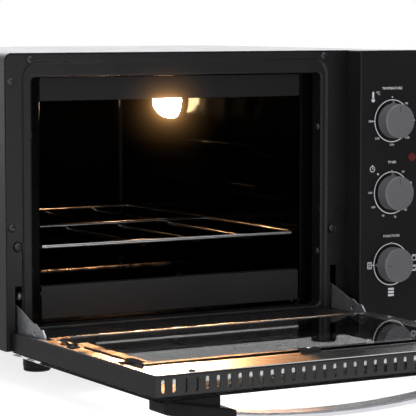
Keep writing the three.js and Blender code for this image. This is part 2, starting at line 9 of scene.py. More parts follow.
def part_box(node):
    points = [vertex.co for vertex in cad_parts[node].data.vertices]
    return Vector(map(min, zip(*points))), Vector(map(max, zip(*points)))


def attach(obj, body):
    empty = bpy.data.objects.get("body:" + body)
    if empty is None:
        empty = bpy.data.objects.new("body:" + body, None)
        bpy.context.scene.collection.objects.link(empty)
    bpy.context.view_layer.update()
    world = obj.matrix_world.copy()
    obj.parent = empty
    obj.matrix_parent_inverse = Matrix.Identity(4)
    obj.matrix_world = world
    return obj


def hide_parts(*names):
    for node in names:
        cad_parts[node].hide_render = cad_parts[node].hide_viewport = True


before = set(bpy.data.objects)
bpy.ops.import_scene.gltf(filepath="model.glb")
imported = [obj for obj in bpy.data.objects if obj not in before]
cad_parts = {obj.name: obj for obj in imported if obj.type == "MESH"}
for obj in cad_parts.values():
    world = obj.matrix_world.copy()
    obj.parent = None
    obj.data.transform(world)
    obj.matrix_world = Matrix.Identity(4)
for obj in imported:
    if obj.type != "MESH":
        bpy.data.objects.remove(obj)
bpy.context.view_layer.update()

# The body frame in millimetres: X from the left face, Y from the front frame's face, Z from the underside.
_lo, _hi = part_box("outer_cover")
ORG = Vector((_lo.x, _lo.y, _lo.z))
W, H, D = 550.0, 335.7, 495.5
MIRROR = 453.5                       # hinge parts and handle: x' = MIRROR - x (the handle about 227)


def T(p):
    return (ORG.x + p[0] / 1000.0, ORG.y + p[1] / 1000.0, ORG.z + p[2] / 1000.0)


# ------------------------------------------------------------------ 2-D loops
def rrect(a0, b0, a1, b1, r, n=8):
    rs = list(r) if isinstance(r, (list, tuple)) else [r] * 4
    out = []
    for (ca, cb, rr, st) in ((a0 + rs[0], b0 + rs[0], rs[0], 180), (a1 - rs[1], b0 + rs[1], rs[1], 270),
                             (a1 - rs[2], b1 - rs[2], rs[2], 0), (a0 + rs[3], b1 - rs[3], rs[3], 90)):
        for i in range(n + 1):
            t = math.radians(st + 90 * i / n)
            out.append((ca + rr * math.cos(t), cb + rr * math.sin(t)))
    return out


def circle(a, b, r, n=24):
    return [(a + r * math.cos(2 * math.pi * i / n), b + r * math.sin(2 * math.pi * i / n)) for i in range(n)]


def area(lp):
    return 0.5 * sum(lp[i][0] * lp[(i + 1) % len(lp)][1] - lp[(i + 1) % len(lp)][0] * lp[i][1] for i in range(len(lp)))


def clean(lp, eps=1e-4):
    out = []
    for p in lp:
        if not out or (abs(p[0] - out[-1][0]) > eps or abs(p[1] - out[-1][1]) > eps):
            out.append(tuple(p))
    if len(out) > 1 and abs(out[0][0] - out[-1][0]) < eps and abs(out[0][1] - out[-1][1]) < eps:
        out.pop()
    return out


def offset(lp, d):
    """Moves a loop to its left by d (inwards for a counter-clockwise loop), mitred."""
    n = len(lp)
    out = []
    for i in range(n):
        p, q, s = Vector(lp[i - 1]), Vector(lp[i]), Vector(lp[(i + 1) % n])
        e1, e2 = (q - p).normalized(), (s - q).normalized()
        n1, n2 = Vector((-e1.y, e1.x)), Vector((-e2.y, e2.x))
        m = n1 + n2
        if m.length < 1e-6:
            m = n1.copy()
        m.normalize()
        k = max(0.35, m.dot(n1))
        o = q + m * (d / k)
        out.append((o.x, o.y))
    return out


def fillet(pts, r, n=5):
    """Rounds a polygon's corners; r is one radius or one for each corner."""
    m = len(pts)
    rs = list(r) if isinstance(r, (list, tuple)) else [r] * m
    out = []
    for i in range(m):
        p, q, s = Vector(pts[i - 1]), Vector(pts[i]), Vector(pts[(i + 1) % m])
        a, b = (p - q), (s - q)
        la, lb = a.length, b.length
        a.normalize(); b.normalize()
        c = max(-1.0, min(1.0, a.dot(b)))
        ang = math.acos(c)
        if rs[i] <= 0 or ang > math.radians(176) or ang < 0.02:
            out.append((q.x, q.y)); continue
        t = min(rs[i] / math.tan(ang / 2), la * 0.48, lb * 0.48)
        rr = t * math.tan(ang / 2)
        p0, p1 = q + a * t, q + b * t
        bis = (a + b).normalized()
        cen = q + bis * (rr / math.sin(ang / 2))
        a0 = math.atan2(p0.y - cen.y, p0.x - cen.x)
        a1 = math.atan2(p1.y - cen.y, p1.x - cen.x)
        da = (a1 - a0 + math.pi) % (2 * math.pi) - math.pi
        for k in range(n + 1):
            t2 = a0 + da * k / n
            out.append((cen.x + rr * math.cos(t2), cen.y + rr * math.sin(t2)))
    return clean(out)


# ------------------------------------------------------------------ 3-D shells
AX = {"x": lambda u, v, w: (w, u, v), "y": lambda u, v, w: (u, w, v), "z": lambda u, v, w: (u, v, w)}


class Geo:
    """Vertices in body millimetres, faces, and a material number for each face."""

    def __init__(self):
        self.v, self.f, self.m = [], [], []

    def add(self, vf, mat=0):
        v, f = vf
        o = len(self.v)
        self.v += list(v)
        self.f += [tuple(i + o for i in q) for q in f]
        self.m += [mat] * len(f)
        return self


def moved(vf, fn):
    return [fn(p) for p in vf[0]], vf[1]


def flipx(vf, about=MIRROR):
    return [(about - p[0], p[1], p[2]) for p in vf[0]], [tuple(reversed(q)) for q in vf[1]]


def plate(axis, loops, t0, t1, bev=0.0, seg=2, lo=True, hi=True):
    """A flat plate of one outline with holes (first loop is the outline), with rounded edges."""
    fn = AX[axis]
    steps = [(0.0, 0.0)]
    prof = []
    if bev > 0:
        for i in range(seg + 1):
            a = math.pi / 2 * i / seg
            prof.append((bev * (1 - math.sin(a)), bev * (1 - math.cos(a))))   # (inset, height from the face)
    else:
        prof = [(0.0, 0.0)]
    levels = []                       # (inset, w)
    if lo and bev > 0:
        levels += [(i, t0 + h) for i, h in prof]
    else:
        levels += [(0.0, t0)]
    if hi and bev > 0:
        levels += [(i, t1 - h) for i, h in reversed(prof)]
    else:
        levels += [(0.0, t1)]
    verts, faces, rings = [], [], []
    for k, lp in enumerate(loops):
        lp = clean(lp)
        ccw = area(lp) > 0
        if (k == 0) != ccw:
            lp = lp[::-1]             # outline counter-clockwise, holes clockwise: the solid is on the left of both
        ring = []
        for ins, w in levels:
            o = offset(lp, ins) if ins > 1e-9 else lp
            base = len(verts)
            verts += [fn(p[0], p[1], w) for p in o]
            ring.append((base, o))
        n = len(lp)
        for j in range(len(levels) - 1):
            b0, b1 = ring[j][0], ring[j + 1][0]
            for i in range(n):
                faces.append((b0 + i, b0 + (i + 1) % n, b1 + (i + 1) % n, b1 + i))
        rings.append(ring)
    for end in (0, -1):
        polys = [[Vector((p[0], p[1], 0)) for p in ring[end][1]] for ring in rings]
        idx = []
        for ring in rings:
            idx += list(range(ring[end][0], ring[end][0] + len(ring[end][1])))
        if len(polys) == 1 and len(polys[0]) <= 64 and _convex(ring[end][1]):
            q = tuple(idx)
            faces.append(q[::-1] if end == 0 else q)
            continue
        for t in geometry.tessellate_polygon(polys):
            a, b, c = (idx[i] for i in t)
            faces.append((a, b, c))
    return verts, faces


def _convex(lp):
    n = len(lp)
    for i in range(n):
        a, b, c = lp[i - 1], lp[i], lp[(i + 1) % n]
        if (b[0] - a[0]) * (c[1] - b[1]) - (b[1] - a[1]) * (c[0] - b[0]) < -1e-7:
            return False
    return True


def lathe(axis, sign, c, prof, n=32, smooth_tip=True):
    """Turns (radius, distance) about a line through c along sign*axis. The ends close on the axis."""
    verts, faces, rings = [], [], []
    for r, h in prof:
        if r < 1e-6:
            verts.append(_ax(axis, sign, c, 0, 0, h)); rings.append([len(verts) - 1])
        else:
            b = len(verts)
            for i in range(n):
                a = 2 * math.pi * i / n
                verts.append(_ax(axis, sign, c, r * math.cos(a), r * math.sin(a), h))
            rings.append(list(range(b, b + n)))
    for q, s in zip(rings, rings[1:]):
        if len(q) == 1 and len(s) == 1:
            continue
        for i in range(n):
            j = (i + 1) % n
            if len(q) == 1:
                faces.append((q[0], s[i], s[j]))
            elif len(s) == 1:
                faces.append((q[i], s[0], q[j]))
            else:
                faces.append((q[i], s[i], s[j], q[j]))
    return verts, faces


def _ax(axis, sign, c, a, b, h):
    if axis == "x":
        return (c[0] + sign * h, c[1] + a, c[2] + b)
    if axis == "y":
        return (c[0] + a, c[1] + sign * h, c[2] + b)
    return (c[0] + a, c[1] + b, c[2] + sign * h)


def loft(loops, cap=(True, True), closed=False):
    """Joins loops of 3-D points that have the same count. closed joins the last to the first."""
    verts, faces = [], []
    n = len(loops[0])
    for lp in loops:
        verts += [tuple(p) for p in lp]
    m = len(loops)
    for j in range(m if closed else m - 1):
        b0, b1 = j * n, ((j + 1) % m) * n
        for i in range(n):
            k = (i + 1) % n
            faces.append((b0 + i, b0 + k, b1 + k, b1 + i))
    if not closed:
        if cap[0]:
            faces.append(tuple(reversed(range(n))))
        if cap[1]:
            faces.append(tuple(range((m - 1) * n, m * n)))
    return verts, faces


def tube(pts, r, n=14, closed=False, round_ends=True):
    P = [Vector(p) for p in pts]
    m = len(P)
    tang = []
    for i in range(m):
        a = P[i - 1] if (i or closed) else P[i]
        b = P[(i + 1) % m] if (i < m - 1 or closed) else P[i]
        tang.append((b - a).normalized())
    up = Vector((0, 0, 1)) if abs(tang[0].z) < 0.9 else Vector((0, 1, 0))
    s = tang[0].cross(up).normalized()
    loops = []
    stations = []
    for i in range(m):
        if i:
            s = (s - tang[i] * s.dot(tang[i])).normalized()
        stations.append((P[i], tang[i], s.copy(), r))
    if not closed and round_ends:
        head, tail = [], []
        for k in (3, 2, 1):
            a = math.pi / 2 * k / 3.2
            head.append((P[0] - tang[0] * r * math.sin(a), tang[0], stations[0][2], r * math.cos(a)))
        for k in (1, 2, 3):
            a = math.pi / 2 * k / 3.2
            tail.append((P[-1] + tang[-1] * r * math.sin(a), tang[-1], stations[-1][2], r * math.cos(a)))
        stations = head + stations + tail
    for p, t, sv, rr in stations:
        u = t.cross(sv)
        loops.append([p + (sv * math.cos(2 * math.pi * i / n) + u * math.sin(2 * math.pi * i / n)) * rr for i in range(n)])
    return loft(loops, closed=closed)


def bend(path, r, n=6):
    """Rounds the corners of a 3-D path."""
    P = [Vector(p) for p in path]
    out = [P[0]]
    for i in range(1, len(P) - 1):
        a, b = (P[i - 1] - P[i]), (P[i + 1] - P[i])
        t = min(r, a.length * 0.45, b.length * 0.45)
        a.normalize(); b.normalize()
        p0, p1 = P[i] + a * t, P[i] + b * t
        for k in range(n + 1):
            u = k / n
            out.append(p0 * (1 - u) ** 2 + P[i] * 2 * u * (1 - u) + p1 * u * u)
    out.append(P[-1])
    return out


def rbox(x0, x1, y0, y1, z0, z1, r, seg=3):
    bm = bmesh.new()
    bmesh.ops.create_cube(bm, size=1.0)
    for v in bm.verts:
        v.co = Vector(((x0 + x1) / 2 + v.co.x * (x1 - x0), (y0 + y1) / 2 + v.co.y * (y1 - y0), (z0 + z1) / 2 + v.co.z * (z1 - z0)))
    if r > 0:
        bmesh.ops.bevel(bm, geom=list(bm.edges), offset=r, segments=seg, profile=0.5, affect="EDGES", clamp_overlap=True)
    bm.verts.index_update()
    v = [tuple(q.co) for q in bm.verts]
    f = [tuple(q.index for q in p.verts) for p in bm.faces]
    bm.free()
    return v, f


# ------------------------------------------------------------------ objects
def mesh_from(name, geo, angle=32.0):
    me = bpy.data.meshes.new(name)
    me.from_pydata([T(p) for p in geo.v], [], geo.f)
    bm = bmesh.new()
    bm.from_mesh(me)
    for f, k in zip(bm.faces, geo.m):
        f.material_index = k
    bmesh.ops.remove_doubles(bm, verts=list(bm.verts), dist=2e-6)
    bmesh.ops.dissolve_degenerate(bm, edges=list(bm.edges), dist=1e-7)
    bmesh.ops.recalc_face_normals(bm, faces=list(bm.faces))
    bm.to_mesh(me)
    bm.free()
    shade(me, angle)
    return me


def shade(me, angle=32.0):
    bm = bmesh.new()
    bm.from_mesh(me)
    lim = math.radians(angle)
    for e in bm.edges:
        e.smooth = not (len(e.link_faces) != 2 or e.calc_face_angle(0.0) > lim)
    for f in bm.faces:
        f.smooth = True
    bm.to_mesh(me)
    bm.free()


def level(me):
    """Normals weighted by face area, so that a flat face stays flat beside its rounded edge."""
    ob = bpy.data.objects.new("tmp", me)
    bpy.context.scene.collection.objects.link(ob)
    mod = ob.modifiers.new("level", "WEIGHTED_NORMAL")
    mod.mode, mod.weight, mod.keep_sharp = "FACE_AREA", 50, True
    dg = bpy.context.evaluated_depsgraph_get()
    dg.update()
    new = bpy.data.meshes.new_from_object(ob.evaluated_get(dg))
    bpy.data.objects.remove(ob)
    new.name = me.name
    return new


def put(name, me, mats, body, nodes):
    me = level(me)
    ob = bpy.data.objects.new(name, me)
    bpy.context.scene.collection.objects.link(ob)
    me.materials.clear()
    for m in mats if isinstance(mats, (list, tuple)) else [mats]:
        me.materials.append(m)
    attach(ob, body)
    if nodes:
        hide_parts(*([nodes] if isinstance(nodes, str) else nodes))
    return ob


def make(name, geo, mats, body, nodes=None, angle=32.0):
    return put(name, mesh_from(name, geo, angle), mats, body, nodes)


def carve(me, geos, op="DIFFERENCE", angle=32.0):
    """Cuts each Geo out of the mesh (or joins it) with the exact solver and returns the new mesh."""
    sc = bpy.context.scene
    for g in geos:
        a = bpy.data.objects.new("tmp_a", me)
        b = bpy.data.objects.new("tmp_b", mesh_from("tmp_b", g))
        sc.collection.objects.link(a)
        sc.collection.objects.link(b)
        mod = a.modifiers.new("cut", "BOOLEAN")
        mod.operation = op
        mod.object = b
        mod.solver = "EXACT"
        dg = bpy.context.evaluated_depsgraph_get()
        dg.update()
        new = bpy.data.meshes.new_from_object(a.evaluated_get(dg))
        bpy.data.objects.remove(a)
        bpy.data.objects.remove(b)
        me = new
    bm = bmesh.new()
    bm.from_mesh(me)
    bmesh.ops.triangulate(bm, faces=[f for f in bm.faces if len(f.verts) > 12], ngon_method="BEAUTY")
    bm.to_mesh(me)
    bm.free()
    shade(me, angle)
    return me


# ------------------------------------------------------------------ materials
class Mat:
    def __init__(self, name):
        self.mat = bpy.data.materials.new(name)
        self.mat.use_nodes = True
        self.nt = self.mat.node_tree
        self.nt.nodes.clear()
        self.out = self.nt.nodes.new("ShaderNodeOutputMaterial")
        self.b = self.nt.nodes.new("ShaderNodeBsdfPrincipled")
        self.link(self.b.outputs[0], self.out.inputs[0])
        self.tc = None
        self.chain = None

    def link(self, a, b):
        self.nt.links.new(a, b)

    def node(self, kind, **kw):
        n = self.nt.nodes.new(kind)
        for k, v in kw.items():
            setattr(n, k, v)
        return n

    def set(self, **kw):
        names = {"base": "Base Color", "rough": "Roughness", "metal": "Metallic", "ior": "IOR", "spec": "Specular IOR Level",
                 "coat": "Coat Weight", "coat_rough": "Coat Roughness", "trans": "Transmission Weight", "alpha": "Alpha",
                 "emit": "Emission Color", "power": "Emission Strength", "aniso": "Anisotropic", "coat_ior": "Coat IOR",
                 "sss": "Subsurface Weight"}
        for k, v in kw.items():
            self.b.inputs[names[k]].default_value = (*v, 1.0) if k in ("base", "emit") else v
        return self

    def coords(self, scale=(1, 1, 1)):
        if self.tc is None:
            self.tc = self.node("ShaderNodeTexCoord")
        m = self.node("ShaderNodeMapping")
        m.inputs["Scale"].default_value = scale
        self.link(self.tc.outputs["Object"], m.inputs["Vector"])
        return m.outputs[0]

    def noise(self, scale, stretch=(1, 1, 1), detail=3.0, rough=0.5):
        n = self.node("ShaderNodeTexNoise")
        n.inputs["Scale"].default_value = scale
        n.inputs["Detail"].default_value = detail
        n.inputs["Roughness"].default_value = rough
        self.link(self.coords(stretch), n.inputs["Vector"])
        return n.outputs["Fac"]

    def ramp(self, src, stops):
        r = self.node("ShaderNodeValToRGB")
        e = r.color_ramp.elements
        while len(e) > len(stops):
            e.remove(e[-1])
        while len(e) < len(stops):
            e.new(0.5)
        for q, (pos, col) in zip(e, stops):
            q.position = pos
            q.color = (*col, 1.0) if isinstance(col, (tuple, list)) else (col, col, col, 1.0)
        self.link(src, r.inputs[0])
        return r.outputs[0]

    def vary(self, socket, src, lo, hi, a=0.3, b=0.7):
        """Drives a socket between lo and hi (numbers or colours) with a texture."""
        self.link(self.ramp(src, [(a, lo), (b, hi)]), self.b.inputs[socket])
        return self

    def bump(self, src, dist, strength=1.0):
        n = self.node("ShaderNodeBump")
        n.inputs["Strength"].default_value = strength
        n.inputs["Distance"].default_value = dist
        self.link(src, n.inputs["Height"])
        if self.chain is not None:
            self.link(self.chain, n.inputs["Normal"])
        self.chain = n.outputs[0]
        self.link(self.chain, self.b.inputs["Normal"])
        return self


def paint(name, dark, light, rough=(0.3, 0.4), spec=0.3, peel=0.00002, grain=1400.0):
    m = Mat(name).set(spec=spec)
    m.vary("Base Color", m.noise(9, detail=4), dark, light)
    m.vary("Roughness", m.noise(34, detail=5, rough=0.6), rough[0], rough[1])
    m.bump(m.noise(260, detail=2), peel)
    m.bump(m.noise(grain, detail=2), peel * 0.35)
    return m.mat


M = {}
M["frame"] = paint("graphite_paint", (0.0066, 0.0066, 0.0075), (0.0096, 0.0096, 0.0104), (0.26, 0.34), 0.36)
M["cover"] = paint("cover_paint", (0.012, 0.012, 0.0135), (0.017, 0.017, 0.0185), (0.22, 0.32), 0.5, 0.00003)
M["panel"] = paint("panel_paint", (0.0072, 0.0073, 0.0082), (0.0092, 0.0093, 0.0102), (0.2, 0.26), 0.27)
M["door"] = paint("door_paint", (0.006, 0.006, 0.0066), (0.0085, 0.0085, 0.009), (0.24, 0.34), 0.42)

m = Mat("black_enamel").set(spec=0.035)
m.vary("Base Color", m.noise(2600, detail=1), (0.0012, 0.0012, 0.0013), (0.0042, 0.0042, 0.0046), 0.62, 0.78)
m.vary("Roughness", m.noise(40, detail=4), 0.08, 0.17)
m.bump(m.noise(26, detail=2), 0.0004)
m.bump(m.noise(420, detail=2), 0.00001)
M["enamel"] = m.mat

# a shaded copy of the enamel: the same colour with its reflection taken off, so the back and left walls stay dark as in
# shade
m = Mat("black_enamel_back").set(spec=0.0)
m.vary("Base Color", m.noise(2600, detail=1), (0.0012, 0.0012, 0.0013), (0.0042, 0.0042, 0.0046), 0.62, 0.78)
m.vary("Roughness", m.noise(40, detail=4), 0.4, 0.5)
M["enamel_back"] = m.mat

m = Mat("baffle_paint").set(spec=0.3, metal=0.0)
m.vary("Base Color", m.noise(14, (0.3, 1, 1), 4), (0.0052, 0.0052, 0.0055), (0.008, 0.008, 0.0083))
m.vary("Roughness", m.noise(60, detail=4), 0.34, 0.46)
m.bump(m.noise(700, detail=2), 0.000015)
M["baffle"] = m.mat

# painted light: the lower strip's paint is a lighter copy of the upper strip's, standing for the light the lower strip
# catches
m = Mat("baffle_paint_lit_copy").set(spec=0.36, metal=0.0)
m.vary("Base Color", m.noise(14, (0.3, 1, 1), 4), (0.0135, 0.0135, 0.0145), (0.018, 0.018, 0.019))
m.vary("Roughness", m.noise(60, detail=4), 0.34, 0.46)
m.bump(m.noise(700, detail=2), 0.000015)
M["baffle_low"] = m.mat

m = Mat("aluminised_sheet").set(metal=1.0)
m.vary("Base Color", m.noise(700, (1, 0.03, 1), 3, 0.6), (0.62, 0.61, 0.59), (0.68, 0.67, 0.65))
m.vary("Roughness", m.noise(500, (1, 0.04, 1), 3, 0.6), 0.214, 0.226)
m.bump(m.noise(900, (1, 0.03, 1), 2), 0.0000008)
M["sheet"] = m.mat

m = Mat("sheet_hem").set(metal=1.0)
m.vary("Base Color", m.noise(120, detail=3), (0.64, 0.63, 0.60), (0.70, 0.69, 0.66))
m.vary("Roughness", m.noise(90, detail=3), 0.345, 0.365)
M["hem"] = m.mat

m = Mat("rest_steel").set(metal=0.45)
m.vary("Base Color", m.noise(60, detail=3), (0.78, 0.78, 0.79), (0.88, 0.88, 0.89))
m.vary("Roughness", m.noise(220, detail=4), 0.34, 0.46)
m.bump(m.noise(900, detail=2), 0.000004)
M["rest"] = m.mat

m = Mat("zinc_plate").set(metal=0.92)
m.vary("Base Color", m.noise(90, detail=5, rough=0.65), (0.40, 0.41, 0.43), (0.58, 0.59, 0.60))
m.vary("Roughness", m.noise(160, detail=4), 0.30, 0.46)
m.bump(m.noise(1500, detail=2), 0.000008)
M["zinc"] = m.mat

m = Mat("rack_chrome").set(metal=1.0)
m.vary("Base Color", m.noise(60, detail=3), (0.46, 0.46, 0.47), (0.60, 0.60, 0.61))
m.vary("Roughness", m.noise(220, detail=4), 0.08, 0.2)
m.bump(m.noise(800, detail=2), 0.000006)
M["chrome"] = m.mat

m = Mat("heater_tube").set(metal=0.85)
m.vary("Base Color", m.noise(70, detail=5, rough=0.75), (0.05, 0.048, 0.048), (0.30, 0.275, 0.26), 0.42, 0.66)
m.vary("Roughness", m.noise(200, detail=4), 0.24, 0.42)
m.bump(m.noise(1300, detail=2), 0.00001)
M["heater"] = m.mat

m = Mat("handle_steel").set(metal=1.0)
m.vary("Base Color", m.noise(40, (0.3, 1, 1), 4), (0.60, 0.60, 0.63), (0.70, 0.70, 0.73))
m.vary("Roughness", m.noise(900, (0.02, 1, 1), 4, 0.6), 0.2, 0.34)
m.bump(m.noise(2600, (0.012, 1, 1), 3), 0.000006)
M["handle"] = m.mat

m = Mat("black_plastic").set(spec=0.45)
m.vary("Base Color", m.noise(40, detail=4), (0.006, 0.006, 0.0066), (0.011, 0.011, 0.0115))
m.vary("Roughness", m.noise(300, detail=4), 0.36, 0.48)
m.bump(m.noise(3000, detail=2), 0.00002)
M["plastic"] = m.mat

m = Mat("handle_cap_plastic").set(spec=0.13)
m.vary("Base Color", m.noise(40, detail=4), (0.0042, 0.0042, 0.0046), (0.0075, 0.0075, 0.008))
m.vary("Roughness", m.noise(300, detail=4), 0.38, 0.5)
m.bump(m.noise(3000, detail=2), 0.00002)
M["cap"] = m.mat

m = Mat("knob_satin").set(metal=0.35, spec=0.5)
m.vary("Base Color", m.noise(2200, detail=3), (0.137, 0.138, 0.148), (0.169, 0.170, 0.181))
m.vary("Roughness", m.noise(500, detail=4), 0.34, 0.44)
m.bump(m.noise(2600, detail=2), 0.000012)
M["knob"] = m.mat

m = Mat("foot_rubber").set(spec=0.14)
m.vary("Base Color", m.noise(120, detail=4), (0.006, 0.006, 0.0062), (0.012, 0.012, 0.012))
m.vary("Roughness", m.noise(300, detail=4), 0.42, 0.6)
m.bump(m.noise(2400, detail=2), 0.00003)
M["foot"] = m.mat

m = Mat("screw_black").set(metal=0.7)
m.vary("Base Color", m.noise(400, detail=4), (0.035, 0.035, 0.038), (0.07, 0.07, 0.075))
m.vary("Roughness", m.noise(700, detail=3), 0.24, 0.38)
m.bump(m.noise(2600, detail=2), 0.00001)
M["screw"] = m.mat

m = Mat("screw_bright").set(metal=1.0)
m.vary("Base Color", m.noise(500, detail=3), (0.55, 0.55, 0.57), (0.72, 0.72, 0.74))
m.vary("Roughness", m.noise(700, detail=3), 0.18, 0.3)
M["screw_bright"] = m.mat

m = Mat("door_glass").set(trans=1.0, ior=1.21, rough=0.0)
m.vary("Base Color", m.noise(12, detail=3), (0.985, 0.992, 0.99), (0.992, 0.997, 0.995))
M["glass"] = m.mat

m = Mat("glass_print").set(spec=0.5)
m.vary("Base Color", m.noise(60, detail=4), (0.003, 0.003, 0.0034), (0.006, 0.006, 0.0064))
m.vary("Roughness", m.noise(200, detail=3), 0.1, 0.16)
M["glass_print"] = m.mat

m = Mat("lamp_glass").set(base=(1.0, 0.93, 0.8), rough=0.25, emit=(1.0, 0.83, 0.55), power=1200.0)
m.vary("Emission Color", m.noise(90, detail=3), (1.0, 0.78, 0.48), (1.0, 0.88, 0.64))
M["lamp"] = m.mat

m = Mat("lamp_metal").set(metal=0.9)
m.vary("Base Color", m.noise(120, detail=4), (0.05, 0.045, 0.04), (0.12, 0.105, 0.09))
m.vary("Roughness", m.noise(300, detail=4), 0.3, 0.45)
M["lamp_metal"] = m.mat

m = Mat("red_lens").set(ior=1.49, spec=0.22)
m.vary("Base Color", m.noise(300, detail=3), (0.072, 0.012, 0.012), (0.105, 0.018, 0.017))
m.vary("Roughness", m.noise(500, detail=3), 0.16, 0.24)
m.bump(m.noise(900, detail=1), 0.00004)
M["lens"] = m.mat

m = Mat("white_print").set(spec=0.4)
m.vary("Base Color", m.noise(900, detail=3), (0.60, 0.61, 0.62), (0.72, 0.73, 0.74))
m.vary("Roughness", m.noise(500, detail=3), 0.4, 0.55)
M["print"] = m.mat

# black for the painted shade disc round each knob
m = Mat("painted_shade_black").set(spec=0.3)
m.vary("Base Color", m.noise(600, detail=3), (0.0016, 0.0016, 0.0018), (0.003, 0.003, 0.0032))
m.vary("Roughness", m.noise(400, detail=3), 0.3, 0.4)
M["painted_shade_black"] = m.mat


# ------------------------------------------------------------------ camera, floor and light
cam = bpy.data.objects.new("camera", bpy.data.cameras.new("camera"))
bpy.context.scene.collection.objects.link(cam)
cam.location = T((-969.9, -2150.0, 373.2))
cam.rotation_euler = (math.radians(84.88), 0.0, math.radians(-29.8))
cam.data.sensor_width = 36.0
cam.data.lens = 182.4
cam.data.clip_start, cam.data.clip_end = 0.05, 60.0
bpy.context.scene.camera = cam
bpy.context.scene.view_settings.view_transform = "Standard"

m = Mat("studio_floor").set(rough=0.9, spec=0.1, power=0.78, emit=(1.0, 1.0, 1.0))
m.vary("Base Color", m.noise(3, detail=2), (0.42, 0.42, 0.425), (0.44, 0.44, 0.445))
me = bpy.data.meshes.new("floor")
me.from_pydata([(-9, -9, 0), (9, -9, 0), (9, 9, 0), (-9, 9, 0)], [], [(0, 1, 2, 3)])
floor = bpy.data.objects.new("floor", me)
me.materials.append(m.mat)
bpy.context.scene.collection.objects.link(floor)

world = bpy.data.worlds.new("studio")
bpy.context.scene.world = world
world.use_nodes = True
nt = world.node_tree
nt.nodes.clear()
wo = nt.nodes.new("ShaderNodeOutputWorld")
bg = nt.nodes.new("ShaderNodeBackground")
bgc = nt.nodes.new("ShaderNodeBackground")
lp = nt.nodes.new("ShaderNodeLightPath")
mix = nt.nodes.new("ShaderNodeMixShader")
tc = nt.nodes.new("ShaderNodeTexCoord")
dot = nt.nodes.new("ShaderNodeVectorMath")
dot.operation = "DOT_PRODUCT"
dot.inputs[1].default_value = (0.5, 0.866, 0.0)
rmp = nt.nodes.new("ShaderNodeValToRGB")
mr = nt.nodes.new("ShaderNodeMapRange")
nt.links.new(tc.outputs["Generated"], dot.inputs[0])
nt.links.new(dot.outputs["Value"], mr.inputs[0])
mr.inputs[1].default_value, mr.inputs[2].default_value = -1.0, 1.0
nt.links.new(mr.outputs[0], rmp.inputs[0])
# brightness against direction: the near left, the side, then the bright wall behind on the right
el = rmp.color_ramp.elements
stops = ((0.0, 0.66), (0.34, 0.64), (0.62, 0.36), (0.80, 0.40), (0.93, 1.7))
while len(el) < len(stops):
    el.new(0.5)
for e, (pos, val) in zip(el, stops):
    e.position = pos
    e.color = (val, val, val * 1.03, 1)
nt.links.new(rmp.outputs[0], bg.inputs[0])
bg.inputs[1].default_value = 1.0
bgc.inputs[0].default_value = (1, 1, 1, 1)
bgc.inputs[1].default_value = 1.0
nt.links.new(lp.outputs["Is Camera Ray"], mix.inputs[0])
nt.links.new(bg.outputs[0], mix.inputs[1])
nt.links.new(bgc.outputs[0], mix.inputs[2])
nt.links.new(mix.outputs[0], wo.inputs[0])


def area_light(name, loc, aim, size, power, color=(1, 1, 1), size_y=None):
    d = bpy.data.lights.new(name, "AREA")
    d.shape = "RECTANGLE"
    d.size, d.size_y = size, size_y or size
    d.energy = power
    d.color = color
    o = bpy.data.objects.new(name, d)
    bpy.context.scene.collection.objects.link(o)
    o.location = loc
    o.rotation_euler = (Vector(aim) - Vector(loc)).to_track_quat("-Z", "Y").to_euler()
    o.visible_camera = False
    return o


area_light("softbox_top", (0.2, 0.2, 2.6), (0, 0.1, 0), 2.6, 42, (1.0, 0.99, 1.0))
area_light("softbox_left", (-2.6, -0.6, 1.5), (0, 0, 0.15), 1.4, 14, (0.98, 0.98, 1.0))

# a dark card stands in front on the right, out of every view, so the right half of the front stays deep
m = Mat("dark_card").set(rough=0.9, spec=0.0, emit=(1, 1, 1.04), power=0.225)
m.vary("Base Color", m.noise(3, detail=2), (0.01, 0.01, 0.01), (0.014, 0.014, 0.014))
me = bpy.data.meshes.new("dark_card")
c0, c1 = Vector((1.05, -2.6, 0.0)), Vector((3.4, -1.2, 0.0))
me.from_pydata([tuple(c0), tuple(c1), (c1.x, c1.y, 2.4), (c0.x, c0.y, 2.4)], [], [(0, 1, 2, 3)])
card = bpy.data.objects.new("dark_card", me)
me.materials.append(m.mat)
bpy.context.scene.collection.objects.link(card)
card.visible_camera = False
card.visible_shadow = False
card.visible_diffuse = False

grey = Mat("grey_card").set(rough=0.9, spec=0.0, emit=(1, 1, 1.04), power=0.27)
grey.vary("Base Color", grey.noise(3, detail=2), (0.01, 0.01, 0.01), (0.014, 0.014, 0.014))
for nm, cm, pts in (("dark_floor_card", m, [(0.19, -0.14), (1.6, 0.1), (3.4, -1.2), (1.05, -2.6), (0.34, -0.62)]),
                    ("grey_floor_card", grey, [(-0.285, -0.44), (-0.285, 0.9), (-1.2, 4.5), (-6.0, 4.5), (-6.0, 0.0), (-0.7, -0.55)])):
    me = bpy.data.meshes.new(nm)
    me.from_pydata([(x, y, 0.004) for x, y in pts], [], [tuple(range(len(pts)))])
    card2 = bpy.data.objects.new(nm, me)
    me.materials.append(cm.mat)
    bpy.context.scene.collection.objects.link(card2)
    card2.visible_camera = False
    card2.visible_shadow = False
    card2.visible_diffuse = False
    card2.visible_transmission = False

# ------------------------------------------------------------------ outer cover, back and base
def wrap_outline():
    t, r, ri, n = 1.0, 9.0, 8.0, 14
    arc = lambda cx, cz, rr, a0, a1: [(cx + rr * math.cos(math.radians(a0 + (a1 - a0) * i / n)),
                                      cz + rr * math.sin(math.radians(a0 + (a1 - a0) * i / n))) for i in range(n + 1)]
    o = [(0, 0), (14, 0), (14, t), (t, t)]
    o += arc(r, H - r, ri, 180, 90) + arc(W - r, H - r, ri, 90, 0)
    o += [(W - t, t), (W - 14, t), (W - 14, 0), (W, 0)]
    o += arc(W - r, H - r, r, 0, 90) + arc(r, H - r, r, 90, 180)
    return clean(o)


